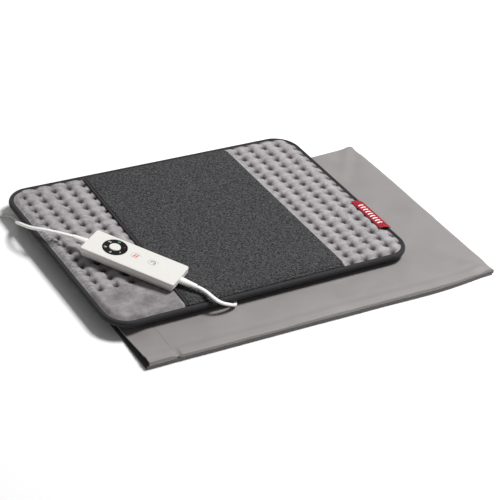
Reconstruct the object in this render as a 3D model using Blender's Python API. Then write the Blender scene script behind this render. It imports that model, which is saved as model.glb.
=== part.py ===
"""Electric heating pad with an in-line handset, lying on its own slip cover. Metres, +Z up."""

import math

import bmesh
import bpy
from mathutils import Euler, Matrix, Vector

for leftover in list(bpy.data.objects):
    bpy.data.objects.remove(leftover, do_unlink=True)

# ---- driving sizes ----
CLEARANCE = 0.0003
PAD_LENGTH, PAD_DEPTH, PAD_CORNER = 0.420, 0.297, 0.032
COVER_LENGTH, COVER_DEPTH = 0.490, 0.314
COVER_OFFSET = (0.0545, -0.0500)      # centre of the cover from the centre of the pad
COVER_TURN = math.radians(-0.6)
PANEL_THICKNESS, COVER_HEIGHT = 0.0010, 0.0095
SEAM_WIDTH, HEM_WIDTH, HEM_THICKNESS = 0.008, 0.026, 0.0008

BACKING, WADDING, CARRIER, WIRE_DIAMETER, PLUSH = 0.0008, 0.0025, 0.0005, 0.0018, 0.0046
EDGE_LIFT = 0.0057                    # the bound edge stands this far above the middle of the underside
BINDING_WIDTH, BINDING_HEIGHT, BINDING_WALL = 0.009, 0.0075, 0.0010
UNDER_SHOULDER, TOP_SHOULDER, FILLING_INSET = 0.028, 0.018, 0.030
HOUSING_SIZE, HOUSING_X = (0.036, 0.015, 0.0075), -0.045
WIRE_RUNS, WIRE_MARGIN = 10, 0.012

BAND_RIGHT, BAND_LEFT_BACK, BAND_LEFT_FRONT = 0.107, -0.0994, -0.1098
BAND_THICKNESS, BAND_TRIM_WIDTH, BAND_TRIM_THICKNESS = 0.0013, 0.0035, 0.0015
LABEL_SIZE, LABEL_Y = (0.018, 0.064, 0.0008), -0.063

HANDSET_LENGTH, HANDSET_WIDTH, HANDSET_THICKNESS, HANDSET_CORNER = 0.1213, 0.0427, 0.0126, 0.0055
HANDSET_PLACE = (-0.1359, -0.0579)     # the middle of its top face, from the pad's centre
HANDSET_TURN = (math.radians(2.0), math.radians(2.5), math.radians(-55.61))
SHELL_WALL, SHELL_PART_LINE, SHELL_TAPER, SHELL_FOOT = 0.0018, 0.0063, 0.0030, 0.0012
KEY_ROW = 0.0028
DIAL_X, DIAL_OUTER, DIAL_SINK, DIAL_PROUD = -0.0273, 0.0149, 0.0009, 0.0003
BUTTON_RADIUS, BUTTON_ROOM, BUTTON_PROUD, BUTTON_TRAVEL = 0.0068, 0.0005, 0.0012, 0.0008
KEY_SIZE, KEY_TRAVEL, BOOST_X, TIMER_X = (0.012, 0.009), 0.0004, 0.0002, 0.0225
BOARD_END_ROOM, BOARD_SIDE_ROOM, BOARD_THICKNESS = 0.00685, 0.00255, 0.0016
SCREW_END_INSET, SCREW_SIDE_INSET = 0.01265, 0.00885
SCREW_RADIUS, SCREW_HEAD_RADIUS, SCREW_HEAD = 0.0010, 0.0023, 0.0006
BOSS_RADIUS = 0.0030
RELIEF_LENGTH, RELIEF_RADIUS, RELIEF_TIP, RELIEF_FLAT = 0.020, 0.0049, 0.0033, 0.72

CORD_RADIUS = 0.0021                  # round tube of the flat twin lead's own section area
CORD_WIDTH = 0.0052
COIL_CENTRE, COIL_COLUMNS, COIL_INNER_TURN, COIL_HEIGHT = (-0.256, 0.1731), 5, 0.0208, 0.0070
TIE_WIDTH, TIE_THICKNESS, TIE_ANGLE = 0.014, 0.0008, math.radians(45)
PLUG_LENGTH, PLUG_WIDTH, PLUG_TAIL_WIDTH, PLUG_THICKNESS = 0.030, 0.0353, 0.009, 0.0137
PLUG_CENTRE, PLUG_TURN = (-0.2560, 0.2375), math.radians(8)
PIN_RADIUS, PIN_LENGTH, PIN_SPACING = 0.0020, 0.019, 0.0186

# ---- sizes that follow from them ----
PAD_UNDERSIDE = COVER_HEIGHT + CLEARANCE
WADDING_LOW = PAD_UNDERSIDE + BACKING + CLEARANCE
CARRIER_LOW = WADDING_LOW + WADDING + CLEARANCE
WIRE_LOW = CARRIER_LOW + CARRIER + CLEARANCE
UPPER_LOW = WIRE_LOW + WIRE_DIAMETER + CLEARANCE
PLUSH_LOW = UPPER_LOW + WADDING + CLEARANCE
PLUSH_TOP = PLUSH_LOW + PLUSH
BINDING_LOW = PAD_UNDERSIDE + EDGE_LIFT
BINDING_TOP = BINDING_LOW + BINDING_HEIGHT
BACKING_EDGE = BINDING_LOW + BINDING_WALL + CLEARANCE
PLUSH_EDGE_LOW = BACKING_EDGE + BACKING + CLEARANCE
PLUSH_EDGE_TOP = BINDING_TOP - BINDING_WALL - CLEARANCE
EDGE_INSET = BINDING_WALL + 0.0008
BAND_TOP = PLUSH_TOP + CLEARANCE + max(BAND_THICKNESS, BAND_TRIM_THICKNESS)
DIAL_INNER = BUTTON_RADIUS + BUTTON_ROOM
BOARD_LENGTH = HANDSET_LENGTH - 2 * (SHELL_WALL + BOARD_END_ROOM)
BOARD_WIDTH = HANDSET_WIDTH - 2 * (SHELL_WALL + BOARD_SIDE_ROOM)
SCREW_X, SCREW_Y = HANDSET_LENGTH / 2 - SCREW_END_INSET, HANDSET_WIDTH / 2 - SCREW_SIDE_INSET
COIL_OUTER_TURN = COIL_INNER_TURN + (COIL_COLUMNS - 1) * CORD_WIDTH
COIL_LOW = TIE_THICKNESS + CLEARANCE


def cover_reach():
    """How far the turned cover reaches along X and along Y from its own centre."""
    turned = abs(math.sin(COVER_TURN))
    along = COVER_LENGTH / 2 * math.cos(COVER_TURN) + COVER_DEPTH / 2 * turned
    across = COVER_DEPTH / 2 * math.cos(COVER_TURN) + COVER_LENGTH / 2 * turned
    return along, across


def pad_place():
    """The pad's centre in the part's frame, whose origin is under the middle of pad and cover together."""
    along, across = cover_reach()
    low_x = min(-PAD_LENGTH / 2, COVER_OFFSET[0] - along)
    high_x = max(PAD_LENGTH / 2, COVER_OFFSET[0] + along)
    low_y = min(-PAD_DEPTH / 2, COVER_OFFSET[1] - across)
    high_y = max(PAD_DEPTH / 2, COVER_OFFSET[1] + across)
    return -(low_x + high_x) / 2, -(low_y + high_y) / 2


def handset_height():
    """Height of the middle of its top face. It is tipped, and its lowest corner, just past the band's edge,
    comes level with the top of that edge."""
    half_length = HANDSET_LENGTH / 2 - SHELL_TAPER - SHELL_FOOT
    half_width = HANDSET_WIDTH / 2 - SHELL_TAPER - SHELL_FOOT
    tilt = Euler(HANDSET_TURN).to_matrix()
    corners = [tilt @ Vector((side_x * half_length, side_y * half_width, -HANDSET_THICKNESS))
               for side_x in (-1, 1) for side_y in (-1, 1)]
    return BAND_TOP - min(corner.z for corner in corners)


def empty(name, place, turn=(0, 0, 0), parent=None):
    holder = bpy.data.objects.new(name, None)
    bpy.context.collection.objects.link(holder)
    holder.location = place
    holder.rotation_euler = turn
    holder.parent = parent
    return holder


PAD_X, PAD_Y = pad_place()
pad_frame = empty("pad_frame", (PAD_X, PAD_Y, 0))
handset_place = (*HANDSET_PLACE, handset_height())
handset_frame = empty("handset_frame", handset_place, HANDSET_TURN, pad_frame)
cover_place = (PAD_X + COVER_OFFSET[0], PAD_Y + COVER_OFFSET[1], 0)
cover_frame = empty("cover_frame", cover_place, (0, 0, COVER_TURN))


def material(name, colour, roughness, metallic=0.0):
    made = bpy.data.materials.new(name)
    made.use_nodes = True
    shader = made.node_tree.nodes["Principled BSDF"]
    shader.inputs["Base Color"].default_value = (*colour, 1)
    shader.inputs["Roughness"].default_value = roughness
    shader.inputs["Metallic"].default_value = metallic
    return made


PLUSH_GREY = material("plush_grey", (0.36, 0.34, 0.35), 0.9)
CHARCOAL = material("charcoal_felt", (0.045, 0.045, 0.048), 0.95)
BINDING_BLACK = material("binding_charcoal", (0.028, 0.027, 0.029), 0.9)
SATIN = material("grey_satin", (0.36, 0.34, 0.34), 0.55)
BACKING_CLOTH = material("backing_cloth", (0.10, 0.10, 0.11), 0.9)
WADDING_WHITE = material("needled_wadding", (0.72, 0.72, 0.70), 1.0)
WIRE_SHEATH = material("silicone_sheath", (0.75, 0.35, 0.20), 0.5)
RED_WEAVE = material("red_woven_tab", (0.55, 0.01, 0.02), 0.7)
WHITE_PLASTIC = material("white_plastic", (0.86, 0.86, 0.85), 0.35)
BLACK_PLASTIC = material("black_plastic", (0.02, 0.02, 0.02), 0.4)
BOARD_GREEN = material("board_laminate", (0.05, 0.22, 0.10), 0.5)
SWITCH_GREY = material("switch_body", (0.12, 0.12, 0.13), 0.45)
CLEAR_GUIDE = material("light_guide_acrylic", (0.80, 0.85, 0.80), 0.15)
STEEL = material("zinc_plated_steel", (0.60, 0.60, 0.62), 0.3, 1.0)
CERAMIC = material("fuse_ceramic", (0.80, 0.78, 0.72), 0.4)
WHITE_VINYL = material("white_vinyl", (0.84, 0.84, 0.82), 0.4)
NICKEL = material("nickel_plated_brass", (0.65, 0.62, 0.55), 0.25, 1.0)
TIE_BLACK = material("hook_and_loop_tape", (0.03, 0.03, 0.03), 0.95)


def add_object(name, mesh_data, finish, parent, smooth=True):
    made = bpy.data.objects.new(name, mesh_data)
    bpy.context.collection.objects.link(made)
    made.parent = parent
    if finish:
        mesh_data.materials.append(finish)
    else:
        made.hide_render = True
        made.display_type = "WIRE"
    if smooth and made.type == "MESH":
        mesh_data.shade_smooth()
        mesh_data.set_sharp_from_angle(angle=math.radians(35))
    return made


def loft(name, loops, finish, parent, ring=False):
    """One closed body through loops of points: capped at both ends, or joined end to end as a ring."""
    shape = bmesh.new()
    rows = [[shape.verts.new(point) for point in loop] for loop in loops]
    count = len(rows[0])
    pairs = list(zip(rows, rows[1:]))
    if ring:
        pairs.append((rows[-1], rows[0]))
    for lower, upper in pairs:
        for i in range(count):
            j = (i + 1) % count
            shape.faces.new((lower[i], lower[j], upper[j], upper[i]))
    if not ring:
        shape.faces.new(rows[0][::-1])
        shape.faces.new(rows[-1])
    bmesh.ops.recalc_face_normals(shape, faces=shape.faces)
    made = bpy.data.meshes.new(name)
    shape.to_mesh(made)
    shape.free()
    return add_object(name, made, finish, parent)


def rounded_outline(length, depth, radius, inset, corner_steps=7):
    """Points round a rectangle with round corners, drawn in by inset, so that insets stay parallel."""
    bend = radius - inset
    points = []
    for corner, (side_x, side_y) in enumerate(((1, 1), (-1, 1), (-1, -1), (1, -1))):
        middle_x = side_x * (length / 2 - radius)
        middle_y = side_y * (depth / 2 - radius)
        for step in range(corner_steps + 1):
            angle = math.radians(90) * (corner + step / corner_steps)
            points.append((middle_x + bend * math.cos(angle), middle_y + bend * math.sin(angle)))
    return points


def pad_loop(inset, height):
    return [(x, y, height) for x, y in rounded_outline(PAD_LENGTH, PAD_DEPTH, PAD_CORNER, inset)]


def handset_loop(inset, depth_below_top):
    outline = rounded_outline(HANDSET_LENGTH, HANDSET_WIDTH, HANDSET_CORNER, inset, 5)
    return [(x, y, -depth_below_top) for x, y in outline]


def box(name, low, high, finish, parent):
    corners = [(low[0], low[1]), (high[0], low[1]), (high[0], high[1]), (low[0], high[1])]
    loops = [[(x, y, height) for x, y in corners] for height in (low[2], high[2])]
    return loft(name, loops, finish, parent)


def centred_box(name, middle, size, finish, parent):
    low = [m - s / 2 for m, s in zip(middle, size)]
    high = [m + s / 2 for m, s in zip(middle, size)]
    return box(name, low, high, finish, parent)


def turned(name, place, profile, finish, parent, sides=24, ring=False, axis="Z", flatten=1.0):
    """A turned solid: the profile holds (radius, height) pairs along the axis."""
    loops = []
    for radius, height in profile:
        loop = []
        for step in range(sides):
            angle = 2 * math.pi * step / sides
            across = radius * math.cos(angle)
            other = radius * math.sin(angle) * flatten
            point = (across, other, height) if axis == "Z" else (height, across, other)
            loop.append(Vector(place) + Vector(point))
        loops.append(loop)
    return loft(name, loops, finish, parent, ring)


def change(target, helper, operation):
    step = target.modifiers.new(helper.name, "BOOLEAN")
    step.operation = operation
    step.solver = "EXACT"
    step.object = helper


def smooth_route(points, spacing):
    """Evenly spaced points on one smooth curve through hand-chosen ones."""
    route = [Vector(p) for p in points]
    ends = [2 * route[0] - route[1]] + route + [2 * route[-1] - route[-2]]
    fine = []
    for a, b, c, d in zip(ends, ends[1:], ends[2:], ends[3:]):
        for step in range(24):
            t = step / 24
            along = 2 * b + (c - a) * t + (2 * a - 5 * b + 4 * c - d) * t**2 + (3 * b - a - 3 * c + d) * t**3
            fine.append(along / 2)
    fine.append(route[-1])
    lengths = [(q - p).length for p, q in zip(fine, fine[1:])]
    count = max(2, round(sum(lengths) / spacing))
    stretch = sum(lengths) / count
    kept, travelled, wanted = [fine[0]], 0.0, stretch
    for p, q, length in zip(fine, fine[1:], lengths):
        while travelled + length >= wanted and len(kept) < count:
            kept.append(p.lerp(q, (wanted - travelled) / length))
            wanted += stretch
        travelled += length
    return kept + [fine[-1]]


def tube(name, points, radius, finish, parent, resolution=2):
    data = bpy.data.curves.new(name, "CURVE")
    data.dimensions = "3D"
    data.bevel_depth = radius
    data.bevel_resolution = resolution
    data.use_fill_caps = True
    spline = data.splines.new("POLY")
    spline.points.add(len(points) - 1)
    for spot, point in zip(spline.points, points):
        spot.co = (*point, 1)
    return add_object(name, data, finish, parent)


# ---- slip cover: two panels held apart by the folded seam allowances, open at the left end ----
def make_cover():
    half_length, half_depth = COVER_LENGTH / 2, COVER_DEPTH / 2
    seam_low = PANEL_THICKNESS + CLEARANCE
    seam_top = COVER_HEIGHT - PANEL_THICKNESS - CLEARANCE
    panels = (("cover_lower_panel", 0.0), ("cover_upper_panel", COVER_HEIGHT - PANEL_THICKNESS))
    for name, low in panels:
        box(name, (-half_length, -half_depth, low), (half_length, half_depth, low + PANEL_THICKNESS),
            SATIN, cover_frame)
    inner = half_depth - SEAM_WIDTH
    box("cover_front_seam", (-half_length, -half_depth, seam_low), (half_length, -inner, seam_top),
        SATIN, cover_frame)
    box("cover_back_seam", (-half_length, inner, seam_low), (half_length, half_depth, seam_top),
        SATIN, cover_frame)
    box("cover_end_seam", (half_length - SEAM_WIDTH, -inner + CLEARANCE, seam_low),
        (half_length, inner - CLEARANCE, seam_top), SATIN, cover_frame)
    for name, low in (("cover_lower_hem", seam_low), ("cover_upper_hem", seam_top - HEM_THICKNESS)):
        box(name, (-half_length, -inner + CLEARANCE, low),
            (-half_length + HEM_WIDTH, inner - CLEARANCE, low + HEM_THICKNESS), SATIN, cover_frame)


# ---- pad layers, all caught in the bound edge ----
def make_layers():
    past_binding = BINDING_WIDTH + 0.0005
    backing = loft("bottom_cover", [
        pad_loop(UNDER_SHOULDER, PAD_UNDERSIDE),
        pad_loop(past_binding, BACKING_EDGE),
        pad_loop(EDGE_INSET, BACKING_EDGE),
        pad_loop(EDGE_INSET, BACKING_EDGE + BACKING),
        pad_loop(past_binding, BACKING_EDGE + BACKING),
        pad_loop(UNDER_SHOULDER, PAD_UNDERSIDE + BACKING),
    ], BACKING_CLOTH, pad_frame)
    loft("plush_panel", [
        pad_loop(UNDER_SHOULDER, PLUSH_LOW),
        pad_loop(past_binding, PLUSH_EDGE_LOW),
        pad_loop(EDGE_INSET, PLUSH_EDGE_LOW),
        pad_loop(EDGE_INSET, PLUSH_EDGE_TOP),
        pad_loop(past_binding, PLUSH_EDGE_TOP),
        pad_loop(TOP_SHOULDER, PLUSH_TOP),
    ], PLUSH_GREY, pad_frame)
    fillings = []
    for name, low, thickness in (
        ("lower_wadding", WADDING_LOW, WADDING),
        ("heater_carrier", CARRIER_LOW, CARRIER),
        ("upper_wadding", UPPER_LOW, WADDING),
    ):
        loops = [pad_loop(FILLING_INSET, low), pad_loop(FILLING_INSET, low + thickness)]
        fillings.append(loft(name, loops, WADDING_WHITE, pad_frame))
    return backing, fillings


def make_binding():
    """A folded tape round the edge: a C-shaped section, open inwards, with the layers' edges inside it."""
    soften = 0.0009
    section = [
        (soften, BINDING_LOW), (0, BINDING_LOW + soften), (0, BINDING_TOP - soften), (soften, BINDING_TOP),
        (BINDING_WIDTH, BINDING_TOP), (BINDING_WIDTH, BINDING_TOP - BINDING_WALL),
        (BINDING_WALL, BINDING_TOP - BINDING_WALL), (BINDING_WALL, BINDING_LOW + BINDING_WALL),
        (BINDING_WIDTH, BINDING_LOW + BINDING_WALL), (BINDING_WIDTH, BINDING_LOW),
    ]
    loft("edge_binding", [pad_loop(*spot) for spot in section], BINDING_BLACK, pad_frame, ring=True)


# ---- heater: a serpentine wire on its carrier, its two small protectors and the lead's housing ----
def make_heater(fillings):
    half_x = PAD_LENGTH / 2 - FILLING_INSET - WIRE_MARGIN
    half_y = PAD_DEPTH / 2 - FILLING_INSET - WIRE_MARGIN
    front_y = -half_y + 0.010
    pitch = (half_y - front_y) / (WIRE_RUNS - 1)
    bend = pitch / 2
    height = WIRE_LOW + WIRE_DIAMETER / 2
    route = []
    for run in range(WIRE_RUNS):
        side = 1 if run % 2 == 0 else -1
        y = front_y + run * pitch
        route.append((-side * (half_x - bend), y, height))
        if run < WIRE_RUNS - 1:
            for step in range(7):
                angle = math.radians(-90 + 30 * step)
                turn_x = side * (half_x - bend + bend * math.cos(angle))
                route.append((turn_x, y + bend + bend * math.sin(angle), height))
        else:
            route.append((side * (half_x - bend), y, height))
    tube("heating_wire", route, WIRE_DIAMETER / 2, WIRE_SHEATH, pad_frame, 1)
    between = front_y + 4.5 * pitch
    small = WIRE_DIAMETER
    centred_box("thermal_cutout", (0.060, between, height), (0.013, 0.004, small), STEEL, pad_frame)
    centred_box("temperature_sensor", (-0.060, between, height), (0.007, 0.003, small), CERAMIC, pad_frame)

    housing_front = -PAD_DEPTH / 2 + FILLING_INSET
    housing_low = WADDING_LOW + CLEARANCE
    notch_depth = HOUSING_SIZE[1] + 0.001
    notch = centred_box(
        "housing_notch", (HOUSING_X, housing_front + notch_depth / 2 - 0.002, PLUSH_LOW),
        (HOUSING_SIZE[0] + 0.002, notch_depth + 0.004, 0.030), None, pad_frame)
    for filling in fillings:
        change(filling, notch, "DIFFERENCE")
    low = (HOUSING_X - HOUSING_SIZE[0] / 2, housing_front - 0.001, housing_low)
    high = tuple(a + b for a, b in zip(low, HOUSING_SIZE))
    box("junction_housing", low, high, BLACK_PLASTIC, pad_frame)
    return low[1]


def make_gland(backing, housing_face):
    """A flat moulded sleeve that takes the feed cord under the bound edge, through the backing, to the housing."""
    half_width, half_height = 0.004, 0.0018
    start = Vector(FEED_ROUTE[-1])
    route = [
        start + Vector((0.0003, 0.0006, 0)),
        Vector((start.x + 0.0030, start.y + 0.0061, start.z + 0.0002)),
        Vector((HOUSING_X, start.y + 0.014, start.z + 0.0012)),
        Vector((HOUSING_X, housing_face - CLEARANCE, start.z + 0.0022)),
    ]
    loops = []
    for index, spot in enumerate(route):
        ahead = route[min(index + 1, len(route) - 1)] - route[max(index - 1, 0)]
        across = Vector((-ahead.y, ahead.x, 0)).normalized() * half_width
        if index == len(route) - 1:
            across = Vector((-half_width, 0, 0))
        up = Vector((0, 0, half_height))
        loops.append([spot + across - up, spot - across - up, spot - across + up, spot + across + up])
    loft("feed_gland", loops, BLACK_PLASTIC, pad_frame)
    slot = box("gland_slot", (HOUSING_X - 0.0065, start.y + 0.005, 0.006),
               (HOUSING_X + 0.0065, housing_face + 0.0006, 0.020), None, pad_frame)
    change(backing, slot, "DIFFERENCE")


# ---- comfort band across the plush, its bound left edge, and the woven tab ----
def band_left(y):
    share = (y + PAD_DEPTH / 2) / PAD_DEPTH
    return BAND_LEFT_FRONT + (BAND_LEFT_BACK - BAND_LEFT_FRONT) * share


def across_the_pad(name, edges, thickness, finish):
    """A strip laid front to back over the plush; edges(y) gives its two X ends."""
    end = PAD_DEPTH / 2 - BINDING_WIDTH - CLEARANCE
    shoulder = PAD_DEPTH / 2 - TOP_SHOULDER
    over = 2 * CLEARANCE
    stations = [
        (-end, PLUSH_EDGE_TOP + over), (-shoulder, PLUSH_TOP + CLEARANCE),
        (shoulder, PLUSH_TOP + CLEARANCE), (end, PLUSH_EDGE_TOP + over),
    ]
    loops = []
    for y, low in stations:
        left, right = edges(y)
        loops.append([(left, y, low), (right, y, low), (right, y, low + thickness), (left, y, low + thickness)])
    loft(name, loops, finish, pad_frame)


def make_band():
    across_the_pad("comfort_band", lambda y: (band_left(y), BAND_RIGHT), BAND_THICKNESS, CHARCOAL)
    across_the_pad(
        "band_left_binding",
        lambda y: (band_left(y) - CLEARANCE - BAND_TRIM_WIDTH, band_left(y) - CLEARANCE),
        BAND_TRIM_THICKNESS, BINDING_BLACK)


def make_label():
    outer = PAD_LENGTH / 2
    lie = BINDING_TOP + CLEARANCE
    profile = [(outer - LABEL_SIZE[0], PLUSH_TOP + CLEARANCE), (outer - BINDING_WIDTH, lie), (outer, lie)]
    loops = []
    for y in (LABEL_Y - LABEL_SIZE[1] / 2, LABEL_Y + LABEL_SIZE[1] / 2):
        under = [(x, y, z) for x, z in profile]
        over = [(x, y, z + LABEL_SIZE[2]) for x, z in reversed(profile)]
        loops.append(under + over)
    loft("label_tab", loops, RED_WEAVE, pad_frame)


# ---- handset: its frame has the middle of the top face as origin and the length along X ----
BOARD_TOP = HANDSET_THICKNESS - SHELL_WALL - 0.0015 - BOARD_THICKNESS
PARTS_LOW = BOARD_TOP - CLEARANCE
CEILING = SHELL_WALL


def taper_at(depth_below_top):
    """How far the bottom shell's side leans in at this depth."""
    return SHELL_TAPER * (depth_below_top - SHELL_PART_LINE) / (HANDSET_THICKNESS - SHELL_PART_LINE)


def make_shells():
    part_gap = CLEARANCE / 2
    floor = HANDSET_THICKNESS - SHELL_WALL
    bottom = loft("handset_bottom_shell", [
        handset_loop(SHELL_TAPER + SHELL_FOOT, HANDSET_THICKNESS),
        handset_loop(taper_at(HANDSET_THICKNESS - 0.0010), HANDSET_THICKNESS - 0.0010),
        handset_loop(0.0, SHELL_PART_LINE + part_gap),
        handset_loop(SHELL_WALL, SHELL_PART_LINE + part_gap),
        handset_loop(SHELL_WALL + taper_at(floor), floor),
    ], WHITE_PLASTIC, handset_frame)
    top = loft("handset_top_shell", [
        handset_loop(SHELL_WALL, CEILING),
        handset_loop(SHELL_WALL, SHELL_PART_LINE - part_gap),
        handset_loop(0.0, SHELL_PART_LINE - part_gap),
        handset_loop(0.0, 0.0030),
        handset_loop(0.0008, 0.0011),
        handset_loop(0.0030, 0.0),
    ], WHITE_PLASTIC, handset_frame)

    for index, (side_x, side_y) in enumerate(((1, 1), (-1, 1), (-1, -1), (1, -1)), 1):
        place = (side_x * SCREW_X, side_y * SCREW_Y, 0)
        lower = turned(f"lower_boss_{index}", place, [(BOSS_RADIUS, -floor - 0.0006),
                       (BOSS_RADIUS, -BOARD_TOP - BOARD_THICKNESS - CLEARANCE)], None, handset_frame, 16)
        change(bottom, lower, "UNION")
        upper = turned(f"upper_boss_{index}", place, [(BOSS_RADIUS, -PARTS_LOW),
                       (BOSS_RADIUS, -CEILING + 0.0006)], None, handset_frame, 16)
        change(top, upper, "UNION")
        head_room = SCREW_HEAD_RADIUS + CLEARANCE
        shank_room = SCREW_RADIUS + CLEARANCE
        sink = HANDSET_THICKNESS - SCREW_HEAD - 2 * CLEARANCE
        bore = turned(f"screw_bore_{index}", place, [(head_room, -HANDSET_THICKNESS - 0.001),
                      (head_room, -sink), (shank_room, -sink), (shank_room, -CEILING - 0.0006)],
                      None, handset_frame, 16)
        for drilled in (bottom, top):
            change(drilled, bore, "DIFFERENCE")
        head_low = HANDSET_THICKNESS - CLEARANCE
        turned(f"housing_screw_{index}", place, [(SCREW_HEAD_RADIUS, -head_low),
               (SCREW_HEAD_RADIUS, -head_low + SCREW_HEAD), (SCREW_RADIUS, -head_low + SCREW_HEAD),
               (SCREW_RADIUS, -CEILING - 0.0012)], STEEL, handset_frame, 16)

    for side in (-1, 1):
        end = side * HANDSET_LENGTH / 2
        hole = turned(f"relief_hole_{side + 1}", (end, 0, -SHELL_PART_LINE),
                      [(0.0042, -0.006), (0.0042, 0.006)], None, handset_frame, 24, axis="X", flatten=0.76)
        for holed in (bottom, top):
            change(holed, hole, "DIFFERENCE")
    return top


def make_reliefs():
    """Tapered strain reliefs, each held by a flange behind the shell's end wall."""
    flange, neck = 0.0050, 0.0039
    behind = SHELL_WALL + taper_at(SHELL_PART_LINE + flange * RELIEF_FLAT) + CLEARANCE
    profile = [
        (flange, -behind - 0.0013), (flange, -behind), (neck, -behind), (neck, CLEARANCE),
        (RELIEF_RADIUS, CLEARANCE), (RELIEF_RADIUS, 0.004), (RELIEF_TIP, RELIEF_LENGTH),
    ]
    for name, side in (("relief_mains", -1), ("relief_feed", 1)):
        turned(name, (side * HANDSET_LENGTH / 2, 0, -SHELL_PART_LINE),
               [(radius, side * reach) for radius, reach in profile],
               WHITE_VINYL, handset_frame, 20, axis="X", flatten=RELIEF_FLAT)


def make_keys(top):
    dial_place = (DIAL_X, KEY_ROW, 0)
    recess = turned("dial_recess", dial_place, [(DIAL_OUTER + CLEARANCE, -DIAL_SINK),
                    (DIAL_OUTER + CLEARANCE, 0.002)], None, handset_frame, 40)
    change(top, recess, "DIFFERENCE")
    passage = turned("button_passage", dial_place, [(DIAL_INNER, -CEILING - 0.002), (DIAL_INNER, 0.002)],
                     None, handset_frame, 40)
    change(top, passage, "DIFFERENCE")
    ring_low, ring_top = -DIAL_SINK + CLEARANCE, DIAL_PROUD
    turned("level_dial_ring", dial_place, [(DIAL_OUTER, ring_low), (DIAL_OUTER, ring_top),
           (DIAL_INNER, ring_top), (DIAL_INNER, ring_low)], BLACK_PLASTIC, handset_frame, 40, ring=True)
    switch_top = 0.0043
    stem_end = switch_top - BUTTON_TRAVEL - CLEARANCE
    turned("level_button", dial_place, [(0.0020, -stem_end), (0.0020, -0.0022), (BUTTON_RADIUS, -0.0022),
           (BUTTON_RADIUS, BUTTON_PROUD - 0.0004), (BUTTON_RADIUS - 0.0006, BUTTON_PROUD)],
           WHITE_PLASTIC, handset_frame, 40)
    switch(dial_place, "level_switch", switch_top)
    for name, x in (("boost", BOOST_X), ("timer", TIMER_X)):
        cap_low = CEILING + CLEARANCE
        room = [size + 2 * CLEARANCE for size in KEY_SIZE]
        hole = capsule(f"{name}_hole", (x, KEY_ROW), room, -CEILING - 0.002, 0.002, None)
        change(top, hole, "DIFFERENCE")
        capsule(f"{name}_key", (x, KEY_ROW), KEY_SIZE, -cap_low, 0.0, WHITE_PLASTIC)
        switch((x, KEY_ROW), f"{name}_switch", cap_low + KEY_TRAVEL + CLEARANCE)


def capsule(name, middle, size, low, high, finish):
    outline = rounded_outline(size[0], size[1], size[1] / 2 - 0.0001, 0, 5)
    loops = [[(middle[0] + x, middle[1] + y, height) for x, y in outline] for height in (low, high)]
    return loft(name, loops, finish, handset_frame)


def switch(place, name, top):
    """A square push switch on the board, its plunger's top this far under the handset's top face."""
    side = 0.006
    plunger = turned(f"{name}_plunger", (place[0], place[1], 0), [(0.0017, -top - 0.002), (0.0017, -top)],
                     None, handset_frame, 16)
    middle = (place[0], place[1], -(PARTS_LOW + top + 0.0006) / 2)
    body = centred_box(name, middle, (side, side, PARTS_LOW - top - 0.0006), SWITCH_GREY, handset_frame)
    change(body, plunger, "UNION")


def make_electronics():
    board_low = BOARD_TOP + BOARD_THICKNESS
    board = box("circuit_board", (-BOARD_LENGTH / 2, -BOARD_WIDTH / 2, -board_low),
                (BOARD_LENGTH / 2, BOARD_WIDTH / 2, -BOARD_TOP), BOARD_GREEN, handset_frame)
    for index, (side_x, side_y) in enumerate(((1, 1), (-1, 1), (-1, -1), (1, -1)), 1):
        hole = turned(f"board_hole_{index}", (side_x * SCREW_X, side_y * SCREW_Y, 0),
                      [(0.0014, -board_low - 0.001), (0.0014, -BOARD_TOP + 0.001)], None, handset_frame, 16)
        change(board, hole, "DIFFERENCE")
    led_height = 0.0004
    guide_low = PARTS_LOW - led_height - CLEARANCE
    guide_outer, guide_inner = DIAL_OUTER - 0.0019, DIAL_INNER + 0.0022
    guide_top = CEILING + CLEARANCE
    turned("light_guide", (DIAL_X, KEY_ROW, 0), [(guide_outer, -guide_low), (guide_outer, -guide_top),
           (guide_inner, -guide_top), (guide_inner, -guide_low)], CLEAR_GUIDE, handset_frame, 32, ring=True)
    led_middle = (DIAL_X + (guide_outer + guide_inner) / 2, KEY_ROW, -(PARTS_LOW - led_height / 2))
    centred_box("indicator_led", led_middle, (0.003, 0.002, led_height), CERAMIC, handset_frame)
    triac_top = 0.0034
    centred_box("power_triac", (0.0365, 0.0060, -(PARTS_LOW + triac_top) / 2),
                (0.015, 0.010, PARTS_LOW - triac_top), BLACK_PLASTIC, handset_frame)
    turned("board_fuse", (0.0340, -0.0100, -PARTS_LOW + 0.0024), [(0.0023, -0.006), (0.0023, 0.006)],
           CERAMIC, handset_frame, 16, axis="X")


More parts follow.
